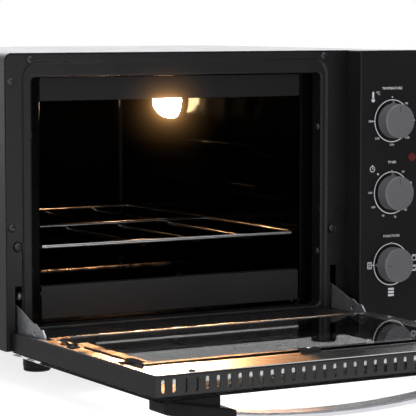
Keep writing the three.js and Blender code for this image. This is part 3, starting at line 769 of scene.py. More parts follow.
g = Geo().add(plate("y", [wrap_outline()], 0, D, 0.3, 2))
cuts = Geo()
for i in range(9):
    y = 330 + 14 * i
    cuts.add(plate("x", [fillet([(y, 215), (y + 4.5, 215), (y + 4.5, 275), (y, 275)], 2.2, 5)], -2, 3))
    cuts.add(plate("x", [fillet([(y, 215), (y + 4.5, 215), (y + 4.5, 275), (y, 275)], 2.2, 5)], W - 3, W + 2))
make_me = carve(mesh_from("cover", g), [cuts])
put("outer_cover_shell", make_me, M["cover"], "body", "outer_cover")

rim = rrect(1.3, 1.3, W - 1.3, H - 1.3, [1.5, 1.5, 7.7, 7.7], 8)
loops = [rim]
for i in range(6):
    for z in (70, 84, 235, 249):
        loops.append(fillet([(100 + i * 46, z), (132 + i * 46, z), (132 + i * 46, z + 5), (100 + i * 46, z + 5)], 2.45, 5))
loops.append(circle(500, 60, 8.4, 28))
g = Geo().add(plate("y", loops, D - 1.2, D, 0.35, 2))
g.add(plate("y", [offset(rim, 0.02), offset(rim, 1.0)], D - 12, D - 1.0, 0.2, 1))
make("back_cover_sheet", g, M["cover"], "body", "back_cover")
g = Geo().add(loft([[( 500 + r * math.cos(a), y, 60 + r * math.sin(a)) for a in [2 * math.pi * i / 32 for i in range(32)]]
                    for r, y in ((4.2, 488), (8.0, 488), (8.0, 495.6), (10.4, 495.8), (11.0, 496.6), (11.0, 498.4), (10.2, 499.7), (9.4, 500.0), (5.4, 500.0), (4.6, 499.6), (4.2, 498.8))],
                   closed=True))
make("cord_bush_moulding", g, M["plastic"], "body", "cord_bush")

loops = [rrect(1.4, 13.5, W - 1.4, D - 12.5, 2, 3)]
for i in range(10):
    for y in (200, 300):
        loops.append(fillet([(120 + i * 30, y), (140 + i * 30, y), (140 + i * 30, y + 5), (120 + i * 30, y + 5)], 2.4, 4))
make("bottom_plate_sheet", Geo().add(plate("z", loops, 1.3, 2.3, 0.3, 1)), M["cover"], "body", "bottom_plate")

foot = [(0, 0.9), (9.0, 0.9), (10.2, 0.5), (10.8, 0.0), (13.6, 0.0), (14.8, 0.25), (15.7, 0.9), (16.1, 1.9), (16.2, 3.4), (15.75, 3.9), (15.75, 4.7),
        (16.2, 5.2), (16.5, 6.2), (16.5, 37.2), (16.2, 38.2), (15.6, 38.8), (14.6, 39.0), (0, 39.0)]
for nm, x, y in (("front_left", 74.4, 78), ("front_right", 475.6, 78), ("rear_left", 74.4, 430), ("rear_right", 475.6, 430)):
    make("foot_moulding_" + nm, Geo().add(lathe("z", 1, (x, y, -38), foot, 40)), M["foot"], "body", "foot_" + nm)

# ------------------------------------------------------------------ front frame
SX0, SX1, SZ0, SZ1 = 22.4, 428.0, 8.0, 325.5
OX0, OX1, OZ0, OZ1 = 34.3, 420.0, 25.0, 308.3


def step_loop(d, n=10):
    return rrect(SX0 + d, SZ0 + d, SX1 - d, SZ1 - d, [max(6 - d, 0.6)] * 2 + [max(19 - d, 1)] * 2, n)


def open_loop(d, n=10):
    return rrect(OX0 - d, OZ0 - d, OX1 + d, OZ1 + d, 6 + d, n)


dishes = [(8.2, 139.7, 5.4), (15.4, 118.0, 6.6), (436.0, 118.7, 6.6)]
slots = [rrect(11.3, 12, 20, 73.5, 1.2, 4), rrect(MIRROR - 20, 12, MIRROR - 11.3, 73.5, 1.2, 4)]
bm = bmesh.new()


def face_fill(loops, y):
    """Flat region between loops at one depth."""
    polys = [[Vector((p[0], p[1], 0)) for p in lp] for lp in loops]
    flat = [p for lp in loops for p in lp]
    vs = [bm.verts.new((p[0], y, p[1])) for p in flat]
    for t in geometry.tessellate_polygon(polys):
        try:
            bm.faces.new([vs[i] for i in t])
        except ValueError:
            pass


def face_rings(rings):
    """Joins loops given as (loop, depth)."""
    prev = None
    for lp, y in rings:
        cur = [bm.verts.new((p[0], y, p[1])) for p in lp]
        if prev:
            n = len(cur)
            for i in range(n):
                bm.faces.new((prev[i], prev[(i + 1) % n], cur[(i + 1) % n], cur[i]))
        prev = cur
    return prev


edge = lambda d: rrect(1.3 + d, 1.3 + d, W - 1.3 - d, H - 1.3 - d, [max(2.2 - d, 0.5)] * 2 + [7.7 - d] * 2, 8)
face_rings([(edge(0), 13), (edge(0), 1.5), (edge(0.12), 0.85), (edge(0.5), 0.32), (edge(1.0), 0.07), (edge(1.6), 0.0)])
face_fill([edge(1.6), step_loop(-1.5)] + slots + [circle(x, z, r, 24) for x, z, r in dishes], 0.0)
face_rings([(step_loop(-1.5), 0.0), (step_loop(-0.9), 0.04), (step_loop(-0.4), 0.2), (step_loop(0.0), 0.5), (step_loop(0.45), 1.0),
            (step_loop(0.9), 1.3), (step_loop(1.5), 1.46), (step_loop(2.1), 1.5)])
face_fill([step_loop(2.1), open_loop(2.4)], 1.5)
face_rings([(open_loop(2.4), 1.5), (open_loop(1.5), 1.58), (open_loop(0.8), 1.9), (open_loop(0.3), 2.5), (open_loop(0.05), 3.3), (open_loop(0.0), 4.2),
            (open_loop(0.0), 20.2)])
for x, z, r in dishes:
    last = face_rings([(circle(x, z, r, 24), 0.0), (circle(x, z, r - 0.5, 24), 0.08), (circle(x, z, r - 1.1, 24), 0.45), (circle(x, z, r - 1.6, 24), 0.75),
                       (circle(x, z, r - 2.2, 24), 0.85)])
    bm.faces.new(last)
bmesh.ops.remove_doubles(bm, verts=list(bm.verts), dist=0.002)
bmesh.ops.recalc_face_normals(bm, faces=list(bm.faces))
flat = min(bm.faces, key=lambda f: abs(f.calc_center_median().y) + (0 if f.calc_area() > 50 else 100))
if flat.normal.y > 0:
    bmesh.ops.reverse_faces(bm, faces=list(bm.faces))
for v in bm.verts:
    v.co = Vector(T(v.co))
me = bpy.data.meshes.new("front_frame_sheet")
bm.to_mesh(me)
bm.free()
tmp = bpy.data.objects.new("tmp", me)
bpy.context.scene.collection.objects.link(tmp)
sol = tmp.modifiers.new("thick", "SOLIDIFY")
sol.thickness, sol.offset, sol.use_even_offset = 0.0011, -1.0, True
outer = [(v.co.copy(), v.normal.copy()) for v in me.vertices]
me = bpy.data.meshes.new_from_object(tmp.evaluated_get(bpy.context.evaluated_depsgraph_get()))
bpy.data.objects.remove(tmp)
# where thin triangles meet, the even offset can throw a point far out: those go straight back by one thickness
for v in me.vertices[len(outer):]:
    co, no = outer[v.index - len(outer)]
    if (v.co - co).length > 0.0021:
        v.co = co - no * 0.0011
shade(me, 38)
put("front_frame_pressing", me, M["frame"], "body", "front_frame")

# pan-head screws with a cross recess
def screw_mesh(r=4.5, h=2.2, below=3.0, n=32, cross=True):
    prof = [(0, h), (r * 0.35, h * 0.985), (r * 0.62, h * 0.9), (r * 0.82, h * 0.7), (r * 0.95, h * 0.4), (r, h * 0.14), (r, 0.0), (r * 0.4, 0.0), (r * 0.38, -below), (0, -below)]
    me = mesh_from("screw", Geo().add(lathe("z", 1, (0, 0, 0), prof, n)))
    if cross:
        k = r * 0.56
        me = carve(me, [Geo().add(plate("z", [fillet([(-k, -.42), (-.42, -.42), (-.42, -k), (.42, -k), (.42, -.42), (k, -.42), (k, .42), (.42, .42), (.42, k), (-.42, k),
                                                      (-.42, .42), (-k, .42)], [.1, .35] * 6, 2)], h - 1.1, h + 1))])
    for v in me.vertices:
        v.co = Vector(((v.co.x - ORG.x), (v.co.y - ORG.y), (v.co.z - ORG.z)))
    return me


SCREW = screw_mesh()
SMALL = screw_mesh(2.9, 1.3, 1.5, 24)


def screw(name, base, at, direction, spin, mat, body, node):
    me = base.copy()
    q = Vector(direction).to_track_quat("Z", "Y").to_matrix().to_4x4() @ Matrix.Rotation(math.radians(spin), 4, "Z")
    me.transform(Matrix.Translation(Vector(T(at))) @ q)
    return put(name, me, mat, body, node)


for nm, x, z, y, sp in (("frame_screw_left_top", 7.9, 303.3, -0.3, 20), ("frame_screw_left_mid", 8.2, 139.7, -0.1, 50), ("frame_screw_left_low", 15.4, 118, -0.1, 10),
                        ("frame_screw_top_left", 31.9, 327.5, -0.3, 65), ("frame_screw_top_right", 423, 328.6, -0.3, 35), ("frame_screw_right_low", 436, 118.7, -0.1, 75)):
    screw(nm.replace("frame_screw", "pan_screw"), SCREW, (x, y, z), (0, -1, 0), sp, M["screw"], "body", nm)
for side, x, dx in (("right", OX1 - 0.3, -1), ("left", OX0 + 0.3, 1)):
    for lv, z, sp in (("low", 90.6, 30), ("high", 243, 70)):
        screw(f"pan_screw_{side}_{lv}_lip", SCREW, (x, 8.5, z), (dx, 0, 0), sp, M["screw"], "body", f"lip_screw_{side}_{lv}")

# ------------------------------------------------------------------ cavity
CX0, CX1, CY0, CY1, CZ0, CZ1 = 53.5, 402.5, 20.6, 481.0, 26.0, 313.0
RIBS = [(100.5, 110.2), (152.5, 162.2), (204.5, 214.2)]
zs = sorted(set([CZ0 + 10 + (CZ1 - CZ0 - 20) * i / 40 for i in range(41)] +
                [a + q for a, b in RIBS for q in (-5, -4, -3, -2, -1, 0, 1, 2, 3.2, 5, 6.5, 8, 8.8, 9.4, 9.9, 10.5, 11.5)]))


def smooth(t):
    t = max(0.0, min(1.0, t))
    return t * t * (3 - 2 * t)


def rib_depth(z, y):
    along = smooth((y - 43) / 17) * smooth((440 - y) / 9)
    d = 0.0
    for a, b in RIBS:
        d = max(d, smooth((z - a + 4.5) / 7.0) * smooth((b + 0.9 - z) / 1.8))
    return 6.0 * d * along


def section(x0, x1, z0, z1, r, y, ribs=1.0, n=8):
    """Points round the cavity wall at one depth."""
    s = (z1 - z0 - 2 * r) / (CZ1 - CZ0 - 20)
    map_z = lambda z: z0 + r + (z - CZ0 - 10) * s
    pts = []
    for i in range(n + 1):
        t = math.radians(180 + 90 * i / n)
        pts.append((x0 + r + r * math.cos(t), z0 + r + r * math.sin(t)))
    for i in range(n + 1):
        t = math.radians(270 + 90 * i / n)
        pts.append((x1 - r + r * math.cos(t), z0 + r + r * math.sin(t)))
    for z in zs[1:-1]:
        pts.append((x1 - ribs * rib_depth(z, y), map_z(z)))
    for i in range(n + 1):
        t = math.radians(0 + 90 * i / n)
        pts.append((x1 - r + r * math.cos(t), z1 - r + r * math.sin(t)))
    for i in range(n + 1):
        t = math.radians(90 + 90 * i / n)
        pts.append((x0 + r + r * math.cos(t), z1 - r + r * math.sin(t)))
    for z in reversed(zs[1:-1]):
        pts.append((x0 + ribs * rib_depth(z, y), map_z(z)))
    return [(p[0], y, p[1]) for p in pts]


ys = [24, 30, 38, 43, 44.5, 46, 48, 50, 52, 60, 120, 180, 240, 300, 360, 420, 431, 433, 435, 437, 438.5, 440, 446, 458, 469]
rings = [section(33.3, 421, 22, 317, 6, CY0, 0), section(51.0, 405.0, 24.0, 315.5, 10, CY0, 0), section(52.4, 403.6, 25.0, 314.1, 10, CY0 + 0.5, 0),
         section(CX0 - 0.3, CX1 + 0.3, CZ0 - 0.3, CZ1 + 0.3, 10, CY0 + 1.5, 0)]
rings += [section(CX0, CX1, CZ0, CZ1, 10, y) for y in ys]
for k in range(1, 7):
    a = math.pi / 2 * k / 6
    ins = 12 * (1 - math.cos(a))
    rings.append(section(CX0 + ins, CX1 - ins, CZ0 + ins, CZ1 - ins, 10, 469 + 12 * math.sin(a), 0))
v, f = loft(rings, cap=(False, False))
nn = len(rings[0])
f.append(tuple(range((len(rings) - 1) * nn, len(rings) * nn)))
g = Geo().add((v, f))
me = mesh_from("cavity", g, 40)
bm = bmesh.new()
bm.from_mesh(me)
big = max(bm.faces, key=lambda q: q.calc_area())
if big.normal.y > 0:
    bmesh.ops.reverse_faces(bm, faces=list(bm.faces))
bm.to_mesh(me)
bm.free()
tmp = bpy.data.objects.new("tmp", me)
bpy.context.scene.collection.objects.link(tmp)
sol = tmp.modifiers.new("thick", "SOLIDIFY")
sol.thickness, sol.offset, sol.use_even_offset = 0.0009, -1.0, True
me = bpy.data.meshes.new_from_object(tmp.evaluated_get(bpy.context.evaluated_depsgraph_get()))
bpy.data.objects.remove(tmp)
shade(me, 40)
liner = put("oven_cavity_enamel", me, M["enamel"], "body", "cavity_liner")
# the back wall and the left wall behind its first 60 mm take the shaded copy of the enamel
liner.data.materials.append(M["enamel_back"])
for q in liner.data.polygons:
    mid = [sum(liner.data.vertices[k].co[i] for k in q.vertices) / len(q.vertices) for i in (0, 1)]
    if mid[1] > (438 - ORG.y) / 1000 or (mid[0] < (CX0 + 11 - ORG.x) / 1000 and mid[1] > (60 - ORG.y) / 1000):
        q.material_index = 1

# strips that hide the heating tubes
up = fillet([(22, 280.3), (33, 280.3), (33, 281.3), (23, 281.3), (23, 306.3), (33, 306.3), (33, 307.3), (22, 307.3)], [0.95, .3, .3, .35, .35, .3, .3, .95], 4)
make("baffle_top_strip", Geo().add(plate("x", [up], 53.9, 402.1, 0.25, 1)), M["baffle"], "body", "upper_baffle")
dn = fillet([(22, 30.5), (34, 30.5), (34, 31.5), (23, 31.5), (23, 67), (37, 67), (37, 68), (22, 68)], [0.95, .3, .3, .35, .35, .3, .3, .95], 4)
# the lower strip takes the lighter, painted-light copy of the strip paint
make("baffle_bottom_strip", Geo().add(plate("x", [dn], 54.6, 401, 0.25, 1)), M["baffle_low"], "body", "lower_baffle")

for nm, y, z in (("lower_front", 150, 41), ("lower_rear", 352, 41), ("upper_front", 150, 296), ("upper_rear", 405, 296)):
    prof = [(0, 38), (1.1, 38), (1.5, 38.5), (1.5, 43.4), (2.6, 43.6), (3.3, 44.2), (3.5, 45.2), (3.5, 410.8), (3.3, 411.8), (2.6, 412.4), (1.5, 412.6), (1.5, 417.5), (1.1, 418), (0, 418)]
    make("heating_tube_" + nm, Geo().add(lathe("x", 1, (0, y, z), prof, 24)), M["heater"], "body", "heater_" + nm)

LY, LZ = 334.3, 265.4
ringp = [(24.9, 1.3), (24.9, 4.9), (25.3, 5.4), (26.2, 5.5), (26.8, 5.1), (27.0, 4.3), (27.0, 0.6), (26.4, 0.3), (15, 0.3), (15, -12), (10, -12), (10, 1.3)]
loops = []
for r, h in ringp:
    loops.append([(CX1 - h, LY + r * math.cos(2 * math.pi * i / 40), LZ + r * math.sin(2 * math.pi * i / 40)) for i in range(40)])
make("lamp_clamp_ring", Geo().add(loft(loops, closed=True)), M["lamp_metal"], "body", "lamp_ring")
dome = [(0, 0.2), (20, 0.2), (23.6, 0.4), (24.2, 1.2)] + [(24.2 * math.cos(math.pi / 2 * i / 14), 6 + 24.2 * math.sin(math.pi / 2 * i / 14)) for i in range(15)]
dome[-1] = (0, 30.2)
dome_ob = make("lamp_dome", Geo().add(lathe("x", -1, (CX1 - 1.6, LY, LZ), dome, 40)), M["lamp"], "body", "lamp_cover")
dome_ob.visible_glossy = False
dome_ob.visible_diffuse = False
dome_ob.visible_shadow = False

WARM = {n: bpy.data.collections.new(n) for n in ("lamp_on_sheet", "lamp_on_metal", "lamp_on_bar", "lamp_on_door", "lamp_on_hem", "lamp_on_enamel", "lamp_on_frame", "light_on_rest",
                                             "softbox_off")}


def lamp_light(name, power, color, radius, diffuse, glossy, only=None, at_=(CX1 - 46, LY, LZ)):
    d = bpy.data.lights.new(name, "POINT")
    d.energy, d.color, d.shadow_soft_size = power, color, radius
    o = bpy.data.objects.new(name, d)
    bpy.context.scene.collection.objects.link(o)
    o.location = T(at_)
    o.visible_camera, o.visible_diffuse, o.visible_glossy, o.visible_transmission = False, diffuse, glossy, False
    if only:
        o.light_linking.receiver_collection = WARM[only]
    return o


rest_light = area_light("fill_in_door", (-1.0, -2.0, 0.6), (-0.05, -0.13, 0.05), 0.6, 40, (1.0, 1.0, 1.0))
rest_light.light_linking.receiver_collection = WARM["light_on_rest"]
# a flag just inside the opening keeps the lamp's glint off the right half of the open door
me = bpy.data.meshes.new("lamp_flag")
me.from_pydata([T(q) for q in ((300, 22, 112), (402, 22, 112), (402, 22, 262), (300, 22, 262))], [], [(0, 1, 2, 3)])
flag = bpy.data.objects.new("lamp_flag", me)
me.materials.append(M["painted_shade_black"])
bpy.context.scene.collection.objects.link(flag)
flag.visible_camera = flag.visible_diffuse = flag.visible_glossy = flag.visible_transmission = False
lamp_light("oven_lamp", 0.5, (1.0, 0.62, 0.30), 0.012, True, False)
lamp_light("oven_lamp_sheet", 155.0, (1.0, 0.46, 0.19), 0.008, False, True, "lamp_on_sheet", (CX1 - 15, LY, LZ - 18))
lamp_light("oven_lamp_hem", 95.0, (1.0, 0.50, 0.21), 0.008, False, True, "lamp_on_hem", (CX1 - 15, LY, LZ - 18))
lamp_light("oven_lamp_frame", 6.0, (1.0, 0.52, 0.24), 0.012, False, True, "lamp_on_frame")
lamp_light("oven_lamp_enamel", 1.3, (1.0, 0.70, 0.36), 0.02, False, True, "lamp_on_enamel", (CX1 - 13.5, LY, LZ))
lamp_light("oven_lamp_bar", 100.0, (1.0, 0.50, 0.24), 0.012, False, True, "lamp_on_bar", (CX1 - 26, LY, LZ - 18))
lamp_light("oven_lamp_door", 2.4, (1.0, 0.46, 0.19), 0.012, False, True, "lamp_on_door", (CX1 - 26, LY, LZ - 18))
lamp_light("oven_lamp_metal", 3.0, (1.0, 0.52, 0.24), 0.012, False, True, "lamp_on_metal")

# ------------------------------------------------------------------ wire rack
RZ = 113.0
per = bend([(228, 29, RZ), (398, 29, RZ), (398, 460, RZ), (58, 460, RZ), (58, 29, RZ), (228, 29, RZ)], 5, 6)
g = Geo().add(tube(per[:-1], 2.5, 16, closed=True))
g.add(tube([(58.5, 245, RZ), (100, 245, RZ), (228, 245, RZ), (350, 245, RZ), (397.5, 245, RZ)], 2.5, 16))
for x in (119, 194, 268, 341):
    g.add(tube([(x, 29.6, RZ - 0.6), (x, 31.4, RZ - 3.0), (x, 35, RZ - 4.1), (x, 120, RZ - 4.1), (x, 245, RZ - 4.1), (x, 380, RZ - 4.1), (x, 461.4, RZ - 4.1)], 2.0, 14))
make("rack_wires", g, M["chrome"], "rack", "wire_rack", 50)

# ------------------------------------------------------------------ hinges
PY, PZ = -17.25, 11.25
AY, AZ_ = -65.0, 14.0
lug = [(PY + 6.75 * math.cos(math.radians(90 + 18 * i)), PZ + 6.75 * math.sin(math.radians(90 + 18 * i))) for i in range(11)]
br_out = clean(lug + fillet([(44.9, 4.5), (45, 70), (38, 88), (3, 88), (3, 18), (2.9, 18)], [1, 3, 3, 1.5, 0.5, 0], 4)[0:])
br_out = lug + [(44.5, 4.5), (45, 5), (45, 69), (44.6, 71), (38.6, 87), (37, 88), (3.6, 88), (3, 87.4), (3, 18.6), (2.4, 18)]
bracket = Geo().add(plate("x", [br_out, circle(PY, PZ, 2.8, 24)], 24.4, 26.4, 0.3, 2))
bracket.add(rbox(26.2, 31.8, 3, 4.4, 22, 88, 0.3, 2))
bracket.add(lathe("x", -1, (24.7, 8, 61.3), [(0, -0.2), (3.4, -0.2), (3.4, 0.8), (4.5, 1.0), (4.5, 6.6), (4.1, 7.2), (3.2, 7.5), (2.4, 7.2), (0, 7.1)], 32))
make("hinge_bracket_plate_left", bracket, M["zinc"], "body", "hinge_bracket_left")
g = Geo().add(flipx((bracket.v, bracket.f)))
make("hinge_bracket_plate_right", g, M["zinc"], "body", "hinge_bracket_right")

c_, s_ = math.cos(math.radians(18.5)), math.sin(math.radians(18.5))
at = lambda s, p: (AY + s * c_ - p * s_, AZ_ + s * s_ + p * c_)
arm_out = fillet([at(96, 12.0), (9.8, 52.3), (-8.9, 46.6), (-19.5, 42.8), (-30, 39), (-37.8, 36.6), (-45.6, 36.5), (-50.7, 33.8),
                  (-55.9, 31.6), (-63.6, 32.1), (-66.6, 29.1), (-71.2, 24.2), (-72.4, 17), (-71.6, 10.6), (-67.5, 6.6), (-62, 5.6),
                  at(8, -9), at(95, -20), at(103, -14), at(104, 4)], 5.0, 4)
arm = Geo().add(plate("x", [arm_out, circle(AY, AZ_, 3.0, 24), circle(-43.5, 25.5, 2.4, 24)], 14.6, 16.6, 0.35, 2))
make("hinge_arm_plate_left", arm, M["zinc"], "arm_left", "hinge_arm_left")
make("hinge_arm_plate_right", Geo().add(flipx((arm.v, arm.f))), M["zinc"], "arm_right", "hinge_arm_right")
pin = Geo().add(lathe("x", 1, (0, AY, AZ_), [(0, 7.9), (2.4, 7.9), (2.7, 8.2), (2.7, 17.2), (4.2, 17.2), (4.6, 17.5), (4.5, 18.3), (3.6, 19.1), (2.0, 19.5), (0, 19.6)], 28))
make("arm_rivet_left", pin, M["zinc"], "door", "arm_pin_left")
make("arm_rivet_right", Geo().add(flipx((pin.v, pin.f))), M["zinc"], "door", "arm_pin_right")
pin = Geo().add(lathe("x", 1, (0, PY, PZ), [(0, 20.8), (2.1, 20.8), (2.5, 21.2), (2.5, 30.4), (2.1, 30.8), (0, 30.8)], 24))
make("door_rivet_left", pin, M["zinc"], "door", "door_pin_left")
make("door_rivet_right", Geo().add(flipx((pin.v, pin.f))), M["zinc"], "door", "door_pin_right")

# ------------------------------------------------------------------ door
DX0, DX1, DY0, DY1, DZ0, DZ1, DT = 6.4, 447.9, -340.0, -1.5, -0.1, 21.8, 1.2
outer = rrect(DY0, DZ0, DY1, DZ1, [0.9, 0.9, 6, 1.3], 8)
inner = rrect(DY0 + DT, DZ0 + DT, DY1 - DT, DZ1 - DT, [0.3, 0.3, 4.8, 0.4], 6)
me = mesh_from("door", Geo().add(plate("x", [outer], DX0, DX1, 0.7, 3)))
win_top = plate("z", [rrect(36, -270, 418, -80, 4, 4)], DZ1 - DT - 1, DZ1 + 1)
win_bot = plate("z", [rrect(52, -281, 402, -88, 8, 8)], DZ0 - 1, DZ0 + DT + 1)
vents = Geo()
for i in range(34):
    x = 15.7 + 12.68 * i
    vents.add(plate("y", [rrect(x - 2.1, 3.5, x + 2.1, 17.8, 2.05, 6)], DY0 - 1, DY0 + DT + 0.6))
ways = Geo()
for fx in (lambda a, b: (a, b), lambda a, b: (MIRROR - b, MIRROR - a)):
    p, q = fx(10.8, 20.4)
    ways.add(rbox(p, q, -82, 1, DZ0 + DT + 0.4, DZ1 + 2, 0, 1))
    p, q = fx(23.7, 27.1)
    ways.add(rbox(p, q, -25.2, 1, DZ0 + DT + 0.6, DZ1 + 2, 0, 1))
wins = Geo().add(win_top).add(win_bot)
me = carve(me, [Geo().add(plate("x", [inner], DX0 + DT, DX1 - DT)), wins, vents, ways], angle=35)
gg = Geo()
gg.add(rbox(20.6, MIRROR - 20.6, -46, -45, DZ0 + 0.5, DZ1 - 0.5, 0.1, 1))
for a, b in ((21.2, 22.4), (29.0, 30.2)):
    gg.add(plate("x", [rrect(-45.5, DZ0 + 0.5, DY1 - 0.5, 16, 0.5, 2), circle(PY, PZ, 2.8, 20)], a, b))
    gg.add(flipx(plate("x", [rrect(-45.5, DZ0 + 0.5, DY1 - 0.5, 16, 0.5, 2), circle(PY, PZ, 2.8, 20)], a, b)))
for fx in (lambda a, b: (a, b), lambda a, b: (MIRROR - b, MIRROR - a)):
    p, q = fx(37.6, 57.2)
    gg.add(rbox(p, q, DY0 + DT + 0.3, DY0 + DT + 7.5, DZ0 + DT + 0.3, 17.6, 0.4, 2))
put("door_frame_pressing", me, M["door"], "door", "door_frame")
make("door_rail_webs", gg, M["door"], "door", None)

SF = -67.5
notch = [(6.9, -339.6), (447.4, -339.6), (447.4, SF), (MIRROR - 10.8, SF), (MIRROR - 10.8, -82), (MIRROR - 20.4, -82), (MIRROR - 20.4, SF),
         (20.4, SF), (20.4, -82), (10.8, -82), (10.8, SF), (6.9, SF)]
sheet_out = fillet(notch, [1.5, 1.5, .8, .5, .8, .8, 1.5, 1.5, .8, .8, .5, .8], 4)
g = Geo().add(plate("z", [sheet_out, rrect(37, -277, 417.5, -82, 5, 8)], 22.1, 23.1, 0.3, 2))
make("door_liner_sheet", g, M["sheet"], "door", "door_inner_sheet", 30)

g = Geo().add(plate("z", [rrect(55, -83.6, 399, -67.6, 0.8, 4)], 22.9, 23.5, 0.2, 2))
make("door_liner_hem", g, M["hem"], "door", None)

g = Geo().add(plate("z", [rrect(20.6, -292, 433.4, -84, 3, 6)], 23.4, 26.2, 0.4, 3))
make("inner_pane", g, M["glass"], "door", "inner_glass", 20).visible_shadow = False
g = Geo().add(plate("z", [rrect(5.9, -341, 448.4, -1.0, 2.5, 6)], -3.5, -0.45, 0.4, 3))
make("outer_pane", g, M["glass"], "door", "outer_glass", 20).visible_shadow = False
g = Geo().add(plate("z", [rrect(6.3, -340.6, 448.0, -1.4, 2.3, 6), rrect(55, -279, 399, -86, 9, 8)], -0.44, -0.40))
make("outer_pane_print", g, M["glass_print"], "door", None)
g = Geo().add(plate("x", [rrect(-49.4, 6.5, -46.3, 8.7, 0.5, 4)], 89, 357, 0.3, 2))
make("glass_rest_angle", g, M["rest"], "door", "glass_rest_strip")

for nm, (ya, yb), (la, lb), (ta, tb) in (("left", (-291, -254), (-283, -256), (-266, -254)), ("far_left", (-148, -103), (-117, -103), (-148, -136))):
    if nm == "left":
        g = Geo().add(rbox(18.4, 20.2, ya, yb, 23.4, 27.4, 0.45, 3)).add(rbox(18.5, 26.5, la, lb, 26.5, 27.4, 0.3, 2))
    else:
        g = Geo().add(rbox(18.4, 20.2, ya, yb, 23.4, 24.4, 0.35, 3)).add(rbox(20.3, 31, -137, -103, 26.5, 27.4, 0.3, 2))
        for a, b in ((-117, -103), (-137, -131)):
            g.add(rbox(18.4, 20.2, a, b, 23.5, 27.4, 0.4, 3)).add(rbox(18.5, 24, a + 0.05, b - 0.05, 26.55, 27.35, 0.3, 2))
    g.add(rbox(9.5, 19.6, ta, tb, 23.4, 24.4, 0.35, 2))
    make("pane_clip_" + nm, g, M["plastic"], "door", "glass_clip_" + nm)
    screw("pane_clip_screw_" + nm, SMALL, (13.8, (ta + tb) / 2, 24.3), (0, 0, 1), 20, M["screw"], "door", None)
g = Geo().add(rbox(205, 229, -296.5, -292.3, 23.4, 27.6, 0.6, 3)).add(rbox(205, 229, -296.4, -286, 26.45, 27.6, 0.5, 3))
make("pane_clip_right", g, M["plastic"], "door", "glass_clip_right")
screw("pane_clip_screw", SMALL, (217, -290.6, 27.2), (0, 0, 1), 40, M["screw_bright"], "door", None)
screw("liner_screw", screw_mesh(4.2, 2.2, 1.5, 28), (51.3, -334.2, 22.9), (0, 0, 1), 25, M["screw"], "door", None)

# ------------------------------------------------------------------ handle
def bar_z(x):
    return -30.5 + 0.0005 * (x - 227) ** 2


rings = []
xs = [62 + 330 * i / 44 for i in range(45)]
for i, x in enumerate(xs):
    zt = bar_z(x)
    ins = 0.0 if 0 < i < 44 else 0.8
    rings.append([(x, p[0], p[1]) for p in rrect(-342.8 + ins, zt - 6.3 + ins, -317.2 - ins, zt - ins, [2.0 - ins] * 4, 6)])
make("handle_bar_bowed", Geo().add(loft(rings)), M["handle"], "door", "handle_bar", 40)
side = fillet([(15, -5.2), (22, -5.0), (93, -17.4), (98, -19.2), (98, -30.6), (93, -32.0), (70, -27.6), (40, -22.4), (18, -17.6), (15, -16.4)],
              [2.0, 10, 3, 2.6, 2.6, 6, 20, 20, 3, 2.0], 6)
cap = Geo().add(plate("y", [side], -345, -310, 2.0, 4))
cap.add(rbox(30, 83, -338, -316, -20, -3.8, 1.6, 3))
make("handle_cap_moulding_left", cap, M["cap"], "door", "handle_cap_left", 30)
make("handle_cap_moulding_right", Geo().add(flipx((cap.v, cap.f), 454)), M["cap"], "door", "handle_cap_right", 30)

# ------------------------------------------------------------------ control panel
PX0, PYF = 456.6, -30.5
pl = lambda d: rrect(PX0 + d, d, W - d, H - d, [max(2 - d, 0.3), max(2 - d, 0.3), max(5 - d, 0.3), max(2 - d, 0.3)], 8)
rings = [(pl(0.6), -0.3), (pl(0.15), -0.6), (pl(0), -1.2), (pl(0), -28.6), (pl(0.12), -29.3), (pl(0.45), -29.95), (pl(1.0), -30.35), (pl(1.7), -30.5)]
loops = [[(p[0], y, p[1]) for p in lp] for lp, y in rings]
make("control_panel_cover", Geo().add(loft(loops)), M["panel"], "body", "control_panel", 30)

lens = [(0, 3.6), (2.6, 3.58), (4.0, 3.4), (4.75, 2.9), (5.05, 2.1), (5.15, 0.9), (5.5, 0.6), (5.5, 0.3), (4.3, 0.3), (4.3, -12), (0, -12)]
make("indicator_cap", Geo().add(lathe("y", -1, (531.5, PYF, 204.7), lens, 36)), M["lens"], "body", "indicator_lens")

KX, YB = 503.0, PYF - 0.6
YF = YB - 17.3
KN = {"temperature": (249.7, 0), "timer": (161.7, 0), "function": (73.7, -90)}
for nm, (kz, turn) in KN.items():
    prof = [(0, 17.3), (17.5, 17.3), (19.0, 17.27), (19.9, 17.05), (20.5, 16.6), (20.8, 15.9), (20.9, 15.0), (21.15, 4.2), (21.3, 3.2), (21.3, 0.5), (20.9, 0.0), (0, 0)]
    k = mesh_from("knob", Geo().add(lathe("y", -1, (KX, YB, kz), prof, 72)))
    k = carve(k, [Geo().add(plate("y", [rrect(KX - 0.65, kz + 10.6, KX + 0.65, kz + 18.2, 0.6, 4)], YF - 1, YF + 0.7))])
    wedge = plate("y", [fillet([(KX - 3.6, kz + 19.2), (KX + 3.6, kz + 19.2), (KX + 0.5, kz + 24.5), (KX - 0.5, kz + 24.5)], [0, 0, .5, .5], 3)], YB - 3.0, YB - 0.1, 0.4, 2)
    w = mesh_from("wedge", Geo().add(wedge))
    bm = bmesh.new()
    bm.from_mesh(k)
    bm.from_mesh(w)
    if turn:
        c = Vector(T((KX, 0, kz)))
        bmesh.ops.transform(bm, matrix=Matrix.Translation(c) @ Matrix.Rotation(math.radians(turn), 4, "Y") @ Matrix.Translation(-c), verts=list(bm.verts))
    bm.to_mesh(k)
    bm.free()
    put("knob_cap_" + nm, k, M["knob"], "knob_" + nm, "knob_" + nm)

# ------------------------------------------------------------------ printing on the panel (generic marks and numbers)
ink = bmesh.new()
Y_INK = PYF - 0.02


def ink_plate(loops, t=0.03):
    me = bpy.data.meshes.new("t")
    v, f = plate("y", loops, Y_INK - t, Y_INK)
    me.from_pydata([T(p) for p in v], [], f)
    ink.from_mesh(me)


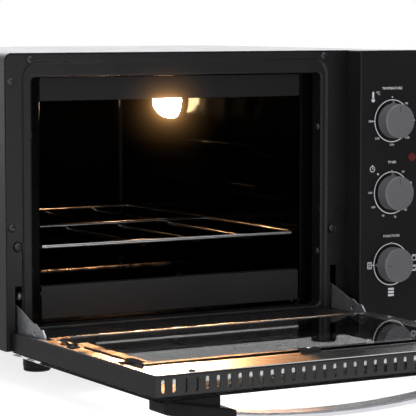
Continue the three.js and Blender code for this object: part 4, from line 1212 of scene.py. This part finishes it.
def ink_ring(x, z, r0, r1, n=96):
    ink_plate([circle(x, z, r1, n), circle(x, z, r0, n)])


def ink_box(x0, z0, x1, z1, r=0.2):
    ink_plate([rrect(x0, z0, x1, z1, r, 3)])


def ink_text(s, x, z, w=None, h=None):
    cu = bpy.data.curves.new("t", "FONT")
    cu.body = s
    cu.align_x, cu.align_y = "CENTER", "CENTER"
    cu.size = 1.0
    cu.offset = 0.018
    cu.resolution_u = 3
    cu.fill_mode = "FRONT"
    ob = bpy.data.objects.new("t", cu)
    bpy.context.scene.collection.objects.link(ob)
    me = bpy.data.meshes.new_from_object(ob.evaluated_get(bpy.context.evaluated_depsgraph_get()))
    bpy.data.objects.remove(ob)
    xs = [q.co.x for q in me.vertices]
    zs_ = [q.co.y for q in me.vertices]
    cx, cz = (min(xs) + max(xs)) / 2, (min(zs_) + max(zs_)) / 2
    kz = h / (max(zs_) - min(zs_))
    kx = kz if w is None else w / (max(xs) - min(xs))
    b2 = bmesh.new()
    b2.from_mesh(me)
    bmesh.ops.remove_doubles(b2, verts=list(b2.verts), dist=1e-5)
    r = bmesh.ops.extrude_face_region(b2, geom=list(b2.faces))
    bmesh.ops.translate(b2, verts=[q for q in r["geom"] if isinstance(q, bmesh.types.BMVert)], vec=(0, 0, 1))
    for q in b2.verts:
        q.co = Vector(T((x + (q.co.x - cx) * kx, Y_INK - 0.03 * q.co.z, z + (q.co.y - cz) * kz)))
    bmesh.ops.recalc_face_normals(b2, faces=list(b2.faces))
    b2.to_mesh(me)
    b2.free()
    ink.from_mesh(me)


for z in (249.7, 161.7, 73.7):
    ink_ring(503, z, 24.95, 26.1)
ink_text("TEMPERATURE", 502.7, 289.4, 29.2, 3.0)
ink_text("TIMER", 503.1, 199.1, 12.6, 3.0)
ink_text("FUNCTION", 503.0, 108.6, 23.6, 3.0)
# thermometer and degrees
ink_plate([fillet([(473.5, 276), (473.5, 285.4), (476.1, 285.4), (476.1, 276)], [0, 1.2, 1.2, 0], 4)])
ink_plate([circle(474.8, 275.2, 2.5, 28)])
ink_text("°C", 481.9, 283.8, 5.6, 4.0)
ink_plate([circle(503.0, 278.6, 0.95, 20)])
ink_box(474.2, 249.1, 477.2, 250.1)
for s, a, r in (("50", 45, 29.6), ("90", 90, 31.5), ("130", 133, 31.0), ("170", 180, 29.3), ("210", 226, 30.4), ("250", 270, 31.8)):
    ink_text(s, 503 + r * math.sin(math.radians(a)), 249.7 + r * math.cos(math.radians(a)), 2.05 * len(s), 2.5)
# timer
ink_box(502.4, 186.4, 503.6, 189.2)
ink_plate([circle(482.6, 185.1, 1.25, 20)])
ink_ring(474.4, 191.4, 2.9, 3.75, 40)
ink_box(474.05, 191.2, 474.75, 193.7, 0.1)
ink_box(474.2, 191.05, 476.3, 191.75, 0.1)
ink_box(473.6, 195.2, 475.2, 196.3, 0.2)
for i, s in enumerate(("15", "30", "45", "60", "75", "90", "105", "120")):
    a = 34 * (i + 1)
    r = 30.4 if s not in ("105", "120") else 31.6
    ink_text(s, 503 + r * math.sin(math.radians(a)), 161.7 + r * math.cos(math.radians(a)), 1.75 * len(s), 2.4)
# function
ink_plate([circle(503.0, 99.5, 1.2, 20)])
ink_box(474.6, 73.1, 477.4, 74.3)


def oven_icon(x, z, w, h, bars):
    ink_plate([rrect(x - w / 2, z - h / 2, x + w / 2, z + h / 2, 1.0, 4), rrect(x - w / 2 + 0.75, z - h / 2 + 0.75, x + w / 2 - 0.75, z + h / 2 - 0.75, 0.5, 3)])
    for b in bars:
        ink_box(x - w / 2 + 1.5, z + b - 0.5, x + w / 2 - 1.5, z + b + 0.5, 0.3)


oven_icon(471.0, 73.5, 6.6, 8.6, (2.3, 0.0, -2.3))
for z in (43.0, 39.2, 35.4):
    ink_box(498.8, z - 1.3, 507.4, z + 1.3, 0.7)
oven_icon(537.2, 80.2, 6.4, 7.4, (1.9,))
oven_icon(537.2, 67.2, 6.4, 7.4, (1.9, -1.9))
me = bpy.data.meshes.new("panel_print")
ink.to_mesh(me)
ink.free()
put("panel_print", me, M["print"], "body", None)

# painted shade: a black disc inside each dial ring stands for the knob's shadow and dark reflection on the panel
g = Geo()
for z in (249.7, 161.7, 73.7):
    g.add(plate("y", [circle(503, z, 24.6, 72), circle(503, z, 4.0, 24)], Y_INK - 0.012, Y_INK + 0.01))
make("dial_painted_shade_disc", g, M["painted_shade_black"], "body", None)

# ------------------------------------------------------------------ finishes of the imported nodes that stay
for n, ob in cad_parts.items():
    key = "zinc" if n.startswith("shaft") else "plastic" if n.startswith("switch") else "lamp" if n == "lamp_bulb" else None
    if key:
        ob.data.materials.clear()
        ob.data.materials.append(M[key])
    if n == "lamp_bulb":
        ob.visible_diffuse = ob.visible_glossy = ob.visible_shadow = False

# the lamp's glints go to the bright metal, and softly to the rack, the tubes and the enamel round it
for n, names in (("lamp_on_sheet", ("door_liner_sheet",)), ("lamp_on_bar", ("handle_bar_bowed",)), ("light_on_rest", ("glass_rest_angle",)),
                 ("lamp_on_hem", ("door_liner_hem",)), ("lamp_on_enamel", ("oven_cavity_enamel",)), ("lamp_on_frame", ("front_frame_pressing",)), ("softbox_off", ("door_liner_hem",)),
                 ("lamp_on_door", ("door_frame_pressing", "outer_pane_print")),
                 ("lamp_on_metal", ("rack_wires", "heating_tube_lower_front", "heating_tube_lower_rear", "heating_tube_upper_front",
                                    "heating_tube_upper_rear", "hinge_arm_plate_left",
                                    "hinge_arm_plate_right", "lamp_clamp_ring"))):
    for q in names:
        WARM[n].objects.link(bpy.data.objects[q])

for link in WARM["softbox_off"].collection_objects:
    link.light_linking.link_state = "EXCLUDE"
bpy.data.objects["softbox_top"].light_linking.receiver_collection = WARM["softbox_off"]

sc = bpy.context.scene
sc.use_nodes = True
ct = sc.node_tree
ct.nodes.clear()
rl = ct.nodes.new("CompositorNodeRLayers")
gl = ct.nodes.new("CompositorNodeGlare")
gl.glare_type, gl.quality = "BLOOM", "HIGH"
gl.inputs["Threshold"].default_value = 600.0
gl.inputs["Strength"].default_value = 0.0062
gl.inputs["Size"].default_value = 0.14
gl.inputs["Tint"].default_value = (1.0, 0.6, 0.3, 1.0)
out = ct.nodes.new("CompositorNodeComposite")
ct.links.new(rl.outputs["Image"], gl.inputs["Image"])
ct.links.new(gl.outputs["Image"], out.inputs["Image"])
